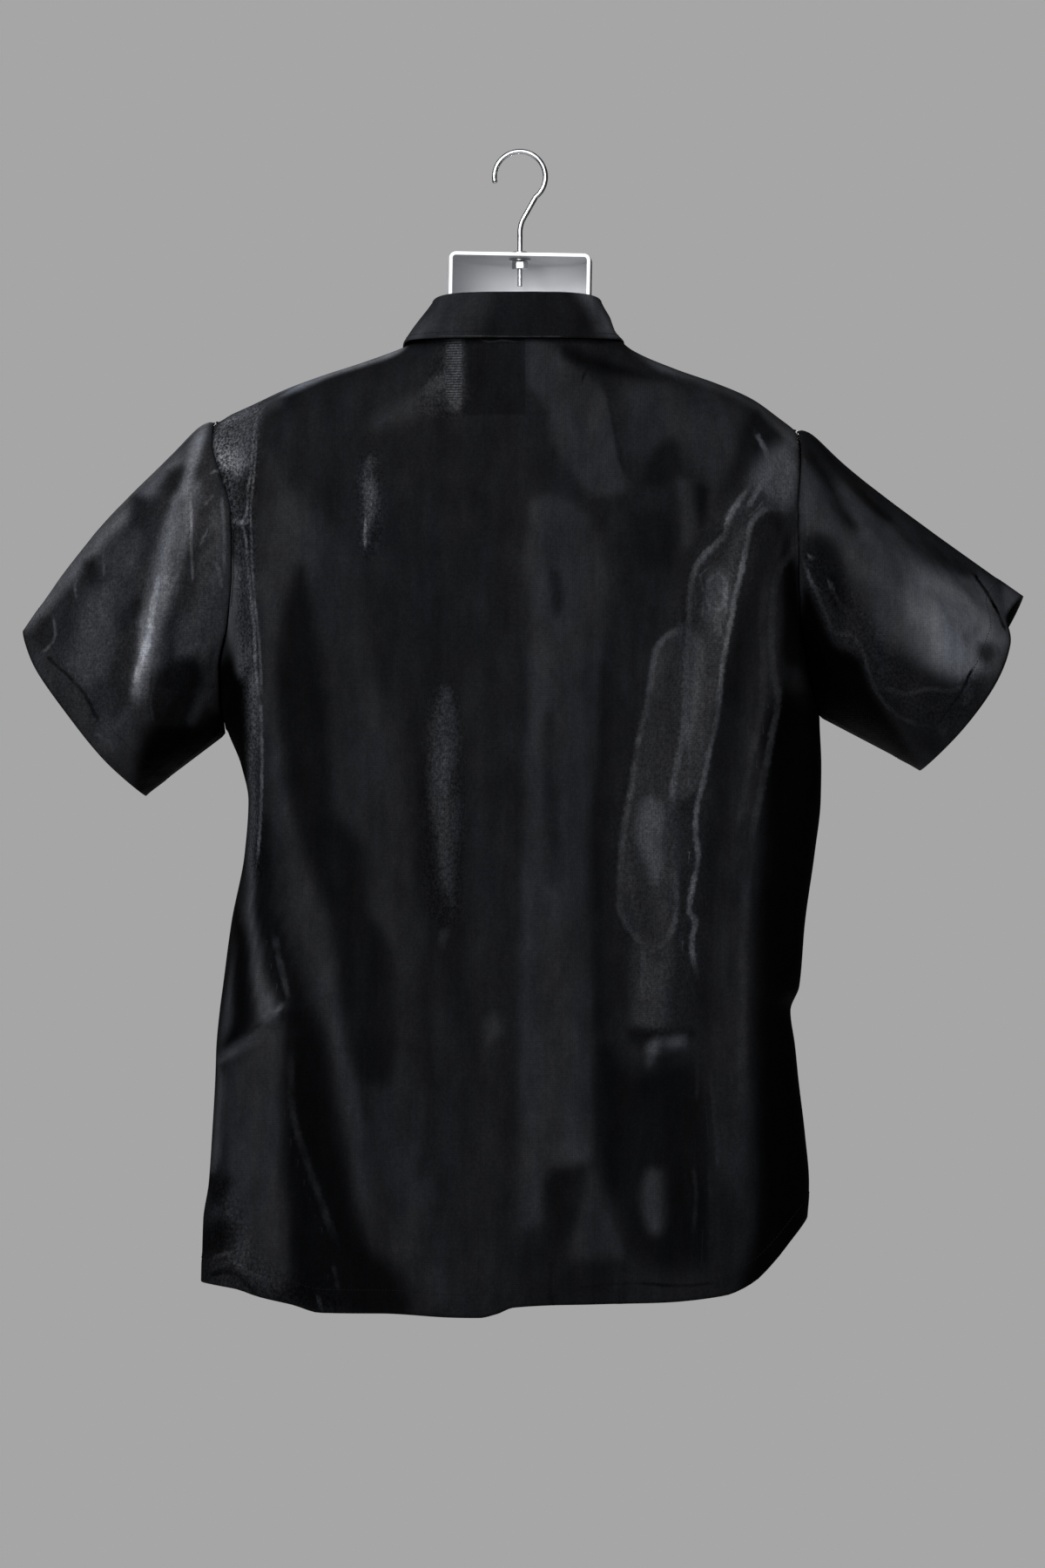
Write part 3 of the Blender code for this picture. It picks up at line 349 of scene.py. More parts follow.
def clothMaterial(name, extra=None):
    # Sheer silky weave, its colour painted with highlights and shade. "marks" holds each point's
    # painted light level, glitter and crumple, and the other layers the distance to the nearest painted
    # lines and how much lighter or darker they make it
    look = clothLook
    material = newMaterial(name, (0.01, 0.01, 0.01), look["roughness"], specular=look["specular"])
    nodes = Nodes(material)
    level, sparkle, crumple = nodes.layer("marks")
    lines = [*nodes.layer("linesA"), *nodes.layer("linesB")]
    wobble = nodes.swing(clothNoise["wobble"])
    broken = nodes.math("MULTIPLY_ADD", nodes.noise(*clothNoise["broken"]), *look["lineBreaks"])
    broken = nodes.math("MAXIMUM", broken, look["lineLeast"])
    for gap, change in zip(lines[::2], lines[1::2]):
        gap = nodes.math("MULTIPLY_ADD", wobble, look["lineWobble"], gap)
        near = nodes.ramp(nodes.math("ABSOLUTE", gap), *look["lineEdge"])
        onLine = nodes.math("MULTIPLY", near, broken)
        level = nodes.math("MULTIPLY_ADD", onLine, change, level)
    if extra:
        level = extra(nodes, level)
    streak = nodes.math("MULTIPLY_ADD", nodes.swing(clothNoise["streak"]), look["streaks"], 1.0)
    cloud = nodes.math("MULTIPLY_ADD", nodes.swing(clothNoise["cloud"]), look["mottle"], streak)
    speck = nodes.math("MULTIPLY", nodes.swing(clothNoise["speck"]), sparkle)
    speck = nodes.math("ADD", nodes.math("MULTIPLY", speck, look["glitter"]), 1.0)
    level = nodes.math("MULTIPLY", level, nodes.math("MULTIPLY", cloud, speck))
    color = nodes.math("POWER", nodes.math("MAXIMUM", level, 0.0), look["displayCurve"])
    color = nodes.math("MULTIPLY", color, look["strength"])
    drift = nodes.ramp(nodes.noise(*clothNoise["drift"]), *look["driftLevels"])
    tints = nodes.add("ShaderNodeMix", {"Factor": drift}, data_type="VECTOR")
    for socket, tint in zip(tints.inputs[4:6], look["tints"]):
        socket.default_value = tint
    tinted = nodes.add("ShaderNodeVectorMath", {0: tints.outputs[1], 1: color}, operation="MULTIPLY")
    nodes.feed("Base Color", tinted.outputs[0])
    nodes.feed("Specular Tint", nodes.ramp(level, *look["glossLevels"]))
    gloss = (look["roughness"], look["shinyRoughness"])
    nodes.feed("Roughness", nodes.ramp(level, *look["shineLevels"], *gloss))
    nodes.feed("Normal", clothBump(nodes, crumple))
    return material


def clothBump(nodes, crumple):
    # Warp and weft, slubs along the weft, and the crumple of thin stiff cloth
    across, _, up = nodes.split(nodes.position())
    turns = math.tau / clothLook["weavePitch"]
    waves = [nodes.math("SINE", nodes.math("MULTIPLY", run, turns)) for run in (across, up)]
    weave = nodes.math("MULTIPLY", nodes.math("ADD", *waves), 0.25)
    fine = nodes.math("ADD", weave, nodes.noise(*clothNoise["slub"]))
    threads = nodes.bump(fine, clothLook["weaveDepth"])
    amount = nodes.math("ADD", crumple, clothLook["leastCrumple"])
    height = nodes.math("MULTIPLY", nodes.noise(*clothNoise["crumple"]), amount)
    return nodes.bump(height, clothLook["crumpleDepth"], threads)


sign = {"back": 1, "front": -1}

cloth = {
    "thickness": 0.6 * mm,
    "seamGap": 0.3 * mm,
    "ditchDepth": 0.9 * mm,
    "ditchWidth": 2.2 * mm,
    "hemBand": 20 * mm,
    "hemLift": 0.45 * mm,
    "seamDepth": 0.6 * mm,
    "stitchIn": 2 * mm,
    "stitchPull": (0.35 * mm, 1.3 * mm),
    "hemEdge": 1.2 * mm,
}
body = {
    "sideSeamY": -0.020,
    "neckPointY": -0.005,
    "shoulderTipY": -0.018,
    "underarmZ": (-0.455, -0.441),
    "slitTopZ": (-0.698, -0.672),
    "slitOpening": 0.016,
    "slitLength": 0.20,
    "neckShare": {"back": 0.30, "front": 0.34},
    "shoulderArch": {"back": 4.4, "front": 2.4},
    "necklineArch": {"back": 3.0, "front": 2.2},
    "squareness": {"back": 6.0, "front": 2.5},
    "sidePacking": (0.55, 5),
    "sidePull": (4, 6),         # how fast the armhole's shape fades inwards, across and in depth
    "neckArch": (0.3, 1.0),
    "neckGapEnd": 0.15,
    "hemSectionZ": -0.880,
    "neckPointGap": 0.0004,
    "edgeFade": 0.10,
    "seamFade": 0.25,
    "fineFade": 0.04,
    "neckEase": {"near": (0.06, 0.16), "below": 0.06, "pull": 0.5, "rounds": 60},
    "bumps": ((24, 0.9 * mm, 3.1), (70, 0.35 * mm, 7.7)),
    "crumple": (0.10, 0.5),
    "crumplePatches": (9, 1.6, 5.2),
}
neckline = {
    "halfWidth": 0.074,
    "depth": {"back": 0.060, "front": 0.091},
    "z": {"back": -0.1457, "front": -0.207},
    "pointZ": -0.143,
    "squareness": {"back": 3.4, "front": 2.2},
    "drop": 2.2,
}
lap = {"width": 0.018, "step": 2.2 * mm, "ramp": (0.022, 0.036), "fadeEnd": 0.065}

# Half widths on the wearer's left and right, and the depths from the side seam
bodySections = Table(
    ("height", "left", "right", "back", "front"),
    (
        (-0.900, 0.2490, 0.2200, 0.086, 0.112),
        (-0.834, 0.2475, 0.2240, 0.084, 0.112),
        (-0.806, 0.2434, 0.2260, 0.083, 0.112),
        (-0.766, 0.2407, 0.2228, 0.082, 0.112),
        (-0.725, 0.2385, 0.2180, 0.081, 0.112),
        (-0.698, 0.2375, 0.2153, 0.081, 0.112),
        (-0.671, 0.2350, 0.2118, 0.080, 0.112),
        (-0.652, 0.2325, 0.2187, 0.080, 0.112),
        (-0.602, 0.2258, 0.2232, 0.079, 0.113),
        (-0.548, 0.2155, 0.2308, 0.078, 0.115),
        (-0.507, 0.2125, 0.2355, 0.078, 0.117),
        (-0.480, 0.2180, 0.2360, 0.078, 0.118),
        (-0.441, 0.2310, 0.2346, 0.078, 0.118),
    ),
)
hems = {
    "back": Table(
        ("across", "height"),
        (
            (-0.223, -0.828), (-0.209, -0.846), (-0.196, -0.863), (-0.180, -0.879),
            (-0.158, -0.889), (-0.111, -0.894), (-0.029, -0.896), (0.005, -0.898),
            (0.018, -0.903), (0.032, -0.906), (0.066, -0.906), (0.080, -0.903),
            (0.154, -0.902), (0.175, -0.896), (0.202, -0.890), (0.222, -0.884),
            (0.250, -0.881),
        ),
    ),
    "front": Table(
        ("across", "height"),
        (
            (-0.223, -0.828), (-0.200, -0.858), (-0.150, -0.885), (-0.050, -0.893),
            (0.050, -0.896), (0.150, -0.892), (0.215, -0.881), (0.250, -0.876),
        ),
    ),
}
# From underarm (rise 0) to shoulder tip (rise 1)
armholes = Table(
    ("rise", "left", "right", "back", "front"),
    (
        (0.00, 0.2310, 0.2346, 0.000, 0.000),
        (0.10, 0.2345, 0.2275, 0.022, 0.030),
        (0.20, 0.2345, 0.2225, 0.040, 0.052),
        (0.34, 0.2275, 0.2180, 0.055, 0.068),
        (0.52, 0.2235, 0.2162, 0.061, 0.071),
        (0.70, 0.2245, 0.2160, 0.060, 0.064),
        (0.84, 0.2350, 0.2185, 0.050, 0.050),
        (0.93, 0.2405, 0.2195, 0.034, 0.033),
        (0.98, 0.2405, 0.2185, 0.016, 0.016),
        (1.00, 0.2395, 0.2176, 0.002, 0.002),
    ),
)
shoulders = Table(
    ("out", "left", "right"),
    (
        (0.074, -0.1430, -0.1430), (0.088, -0.1510, -0.1545), (0.120, -0.1630, -0.1685),
        (0.154, -0.1740, -0.1802), (0.182, -0.1840, -0.1918), (0.209, -0.1958, -0.2100),
        (0.226, -0.2030, -0.2210), (0.240, -0.2090, -0.2290),
    ),
)


def bow(turn, squareness):
    # Across and depth of a rounded-square quarter arc
    angle = np.asarray(turn) * math.pi / 2
    across, depth = np.abs(np.sin(angle)), np.abs(np.cos(angle))
    size = (across**squareness + depth**squareness) ** (1 / squareness)
    return across / size, depth / size


def sideValue(table, key, share):
    return sided(table.at(key, "left"), table.at(key, "right"), share)


def ringTurn(out):
    share, power = body["sidePacking"]
    return share * out + (1 - share) * out**power


def ringPoint(face, share, height):
    across, depth = bow(ringTurn(np.abs(share)), body["squareness"][face])
    left, right = body["slitTopZ"]
    slitTop = lerp(right, left, smooth(-0.5, 0.5, share))
    opened = smooth(0, body["slitLength"], slitTop - height)
    gap = cloth["seamGap"] / 2 + opened * body["slitOpening"] / 2
    x = sideOf(share) * sideValue(bodySections, height, share) * across
    y = body["sideSeamY"] + sign[face] * (gap + bodySections.at(height, face) * depth)
    return stacked(x, y, height)


def necklinePoint(face, turn):
    across, depth = bow(np.abs(turn), neckline["squareness"][face])
    x = sideOf(turn) * neckline["halfWidth"] * across
    y = body["neckPointY"] + sign[face] * neckline["depth"][face] * depth
    z = lerp(neckline["pointZ"], neckline["z"][face], depth ** neckline["drop"])
    return stacked(x, y, z)


def topPoint(face, share):
    # The neckline in the middle and a shoulder seam on each side
    share = np.asarray(share, float)
    side, out = sideOf(share), np.abs(share)
    neck = body["neckShare"][face]
    along = np.clip((out - neck) / (1 - neck), 0, 1)
    x = lerp(neckline["halfWidth"], sideValue(armholes, 1.0, share), along)
    gap = cloth["seamGap"] + body["neckPointGap"] * (1 - smooth(0, body["neckGapEnd"], along))
    y = lerp(body["neckPointY"], body["shoulderTipY"], along) + sign[face] * gap / 2
    seam = stacked(side * x, y, sideValue(shoulders, x, share))
    inNeck = (out < neck - 1e-6)[..., None]
    return np.where(inNeck, necklinePoint(face, np.clip(share / neck, -1, 1)), seam)


def underarmHeight(share):
    left, right = body["underarmZ"]
    return (left + right) / 2 + share * (left - right) / 2


def shoulderArch(face, share, rise):
    neck = smooth(*body["neckArch"], np.abs(share) / body["neckShare"][face])
    bend = lerp(body["necklineArch"][face], body["shoulderArch"][face], neck)
    turn = lerp(1.0, body["shoulderArch"][face], neck)
    return np.maximum(0.0, 1 - rise**bend) ** (1 / turn)


def upperPoint(face, share, rise):
    # Rise 0 is the underarm's level and 1 the panel's top edge
    side, out = sideOf(share), np.abs(share)
    low = ringPoint(face, share, underarmHeight(share))
    top = topPoint(face, share)
    arch = shoulderArch(face, share, rise)
    edgeLow = ringPoint(face, side, sided(*body["underarmZ"], share))
    edgeTop = topPoint(face, side)
    edgeX = side * sideValue(armholes, rise, share)
    edgeY = lerp(body["sideSeamY"], body["shoulderTipY"], rise)
    edgeY = edgeY + sign[face] * (cloth["seamGap"] / 2 + armholes.at(rise, face))
    shiftX = edgeX - lerp(edgeLow[..., 0], edgeTop[..., 0], rise)
    shiftY = edgeY - (edgeTop[..., 1] + (edgeLow[..., 1] - edgeTop[..., 1]) * arch)
    pullX, pullY = (out**power for power in body["sidePull"])
    x = lerp(low[..., 0], top[..., 0], rise) + shiftX * pullX
    y = top[..., 1] + (low[..., 1] - top[..., 1]) * arch + shiftY * pullY
    return stacked(x, y, lerp(low[..., 2], top[..., 2], rise))


def lowerPoint(face, share, climb):
    half = sideValue(bodySections, body["hemSectionZ"], share)
    across, _ = bow(ringTurn(np.abs(share)), body["squareness"][face])
    bottom = hems[face].at(sideOf(share) * half * across, "height")
    return ringPoint(face, share, lerp(bottom, underarmHeight(share), climb))


def bodyPoint(face, share, level):
    # Level runs 0 to 1 from hem to underarm and 1 to 2 from there to the top edge
    share, level = np.broadcast_arrays(np.asarray(share, float), np.asarray(level, float))
    low = lowerPoint(face, share, np.clip(level, 0, 1))
    high = upperPoint(face, share, np.clip(level - 1, 0, 1))
    return np.where((level <= 1)[..., None], low, high)


def shareAt(face, x, level):
    x, level = np.broadcast_arrays(np.asarray(x, float), np.asarray(level, float))
    low, high = np.full(x.shape, -0.6), np.full(x.shape, 0.6)
    for _ in range(24):
        middle = (low + high) / 2
        short = bodyPoint(face, middle, level)[..., 0] < x
        low, high = np.where(short, middle, low), np.where(short, high, middle)
    return (low + high) / 2


# Soft folds in millimetres: three places across and up, half width and how far it stands out
folds = {
    "back": (
        (200, -215, 209, -290, 202, -426, 10, 3.5),
        (202, -426, 198, -535, 178, -657, 12, 5),
        (178, -660, 205, -681, 232, -701, 8, 4.5),
        (178, -698, 171, -773, 140, -860, 12, 6),
        (205, -740, 212, -810, 215, -890, 14, -5),
        (166, -317, 154, -460, 117, -698, 19, -6),
        (134, -303, 100, -494, 66, -698, 22, 5.5),
        (90, -710, 95, -800, 105, -905, 20, -6),
        (52, -290, 39, -494, 25, -732, 21, -5),
        (-28, -290, -29, -528, -33, -786, 23, 5),
        (-45, -800, -47, -850, -50, -900, 16, 6),
        (-72, -380, -73, -562, -73, -766, 16, -7),
        (-186, -262, -138, -324, -94, -466, 12, 6),
        (-94, -466, -82, -541, -100, -657, 13, 6),
        (-196, -283, -169, -358, -138, -480, 10, 4.5),
        (-138, -480, -134, -562, -138, -698, 12, 4),
        (-104, -720, -104, -790, -110, -896, 16, 4.5),
        (-204, -317, -198, -412, -179, -528, 11, 4),
        (-179, -528, -175, -698, -170, -861, 14, 5.5),
        (-60, -166, -90, -176, -118, -190, 10, -2.5),
    ),
    "front": (
        (165, -330, 160, -480, 168, -640, 18, -6),
        (120, -420, 112, -600, 116, -880, 20, 6.5),
        (75, -520, 70, -680, 74, -895, 17, -5.5),
        (190, -600, 192, -720, 196, -880, 14, 5),
        (-60, -500, -66, -660, -62, -895, 17, 5),
        (-110, -380, -118, -560, -112, -880, 19, -6.5),
        (-155, -340, -150, -500, -158, -700, 16, 6),
        (-190, -560, -188, -700, -184, -850, 14, -5),
    ),
    "sleeve_left back": (
        (250, -235, 262, -317, 295, -420, 11, 7.5),
        (285, -270, 312, -340, 350, -405, 16, -5),
        (246, -330, 262, -380, 280, -425, 11, -4.5),
    ),
    "sleeve_left front": (
        (262, -250, 285, -330, 312, -420, 14, 6),
        (290, -260, 320, -330, 355, -390, 14, -4.5),
    ),
    "sleeve_right back": (
        (-230, -245, -252, -285, -275, -315, 10, -6),
        (-262, -300, -305, -350, -355, -385, 18, 6),
        (-236, -330, -262, -375, -300, -430, 14, -5),
        (-350, -372, -366, -380, -384, -384, 9, -4.5),
    ),
    "sleeve_right front": (
        (-250, -260, -280, -320, -310, -400, 14, 6),
        (-290, -280, -330, -330, -365, -370, 14, -4.5),
    ),
}

# Fine creases in the same columns, thinner than the solids carry
creases = {
    "back": (
        (168, -181, 196, -196, 208, -230, 4, 1.8),
        (209, -247, 213, -262, 211, -278, 3, 2.2),
        (211, -286, 218, -289, 226, -288, 3, 1.6),
        (209, -316, 206, -350, 209, -372, 4, 1.8),
        (204, -392, 201, -470, 203, -560, 4, 2),
        (200, -570, 191, -620, 179, -655, 4, 2.2),
        (180, -662, 205, -680, 240, -703, 3, 2.6),
        (184, -672, 210, -696, 236, -716, 5, -2),
        (178, -700, 178, -745, 166, -785, 3, 2.4),
        (166, -785, 152, -825, 140, -862, 4, 2),
        (228, -760, 222, -800, 230, -850, 4, 1.8),
        (238, -790, 231, -806, 236, -824, 3, -2),
        (222, -820, 212, -838, 216, -862, 4, -1.8),
        (114, -249, 116, -278, 118, -305, 3, 1.8),
        (58, -419, 55, -500, 58, -578, 5, 1.6),
        (-200, -271, -170, -310, -166, -362, 4, 2),
        (-166, -362, -156, -410, -141, -492, 4, 2.2),
        (-183, -249, -160, -294, -134, -332, 3, 1.8),
        (-134, -332, -128, -392, -122, -469, 4, 2),
        (-126, -373, -101, -398, -92, -458, 4, 1.8),
        (-92, -458, -78, -557, -97, -616, 4, 2.2),
        (-212, -284, -195, -335, -193, -371, 3, 2),
        (-193, -371, -198, -430, -180, -562, 4, 2),
        (-180, -562, -172, -700, -172, -834, 5, 2.2),
        (-85, -690, -108, -697, -136, -692, 4, -2),
        (-98, -700, -112, -704, -128, -699, 4, 2),
        (-118, -560, -122, -610, -116, -650, 4, 1.6),
        (-40, -784, -36, -815, -46, -846, 6, -2),
        (-62, -790, -72, -830, -80, -872, 5, 2),
        (-24, -858, -23, -875, -24, -892, 2, 1.5),
        (-76, -876, -77, -885, -76, -896, 2, 1.5),
        (80, -860, 84, -880, 82, -900, 4, 1.6),
        (22, -700, 20, -740, 26, -780, 8, 1.2),
    ),
    "front": (
        (205, -300, 196, -380, 200, -440, 4, 1.8),
        (176, -420, 158, -520, 162, -640, 4, 2),
        (120, -330, 128, -420, 118, -520, 5, 1.8),
        (88, -560, 80, -660, 86, -760, 5, 1.6),
        (212, -640, 206, -720, 214, -800, 4, 2),
        (-206, -320, -192, -400, -198, -470, 4, 2),
        (-140, -360, -132, -470, -140, -600, 4, 2),
        (-84, -420, -92, -520, -84, -640, 5, -1.8),
        (-120, -680, -112, -760, -122, -850, 5, 1.8),
        (-200, -600, -194, -680, -204, -760, 4, 1.8),
    ),
    "sleeve_left back": (
        (252, -225, 268, -290, 292, -380, 4, 2.6),
        (236, -262, 246, -276, 256, -282, 3, 1.8),
        (232, -300, 246, -312, 258, -322, 3, -1.8),
        (270, -235, 284, -262, 300, -280, 4, 1.4),
        (290, -270, 306, -280, 322, -300, 4, -1.5),
        (300, -310, 318, -330, 330, -352, 4, 1.5),
        (330, -310, 342, -336, 358, -352, 4, -1.6),
        (262, -350, 270, -372, 266, -400, 5, -2.4),
        (246, -380, 262, -402, 284, -418, 3, 1.8),
        (318, -370, 330, -392, 346, -404, 4, 1.5),
        (296, -430, 306, -440, 316, -458, 3, 1.6),
        (240, -236, 262, -240, 280, -246, 3, 1.2),
    ),
    "sleeve_left front": (
        (262, -250, 280, -330, 300, -400, 4, 2.2),
        (240, -300, 258, -330, 270, -360, 4, -1.8),
        (310, -300, 330, -330, 348, -360, 4, 1.6),
    ),
    "sleeve_right back": (
        (-224, -300, -238, -340, -246, -378, 3, 2),
        (-246, -378, -268, -400, -300, -440, 4, 2),
        (-252, -262, -290, -300, -330, -330, 5, 1.4),
        (-232, -262, -248, -280, -266, -290, 3, -1.6),
        (-300, -330, -330, -350, -356, -360, 5, -1.6),
        (-346, -378, -362, -390, -372, -392, 4, -2.6),
        (-226, -330, -236, -346, -240, -356, 3, 1.8),
        (-310, -410, -330, -420, -346, -424, 4, 1.4),
    ),
    "sleeve_right front": (
        (-250, -260, -280, -320, -310, -400, 4, 2),
        (-300, -290, -330, -330, -360, -360, 4, -1.6),
    ),
}
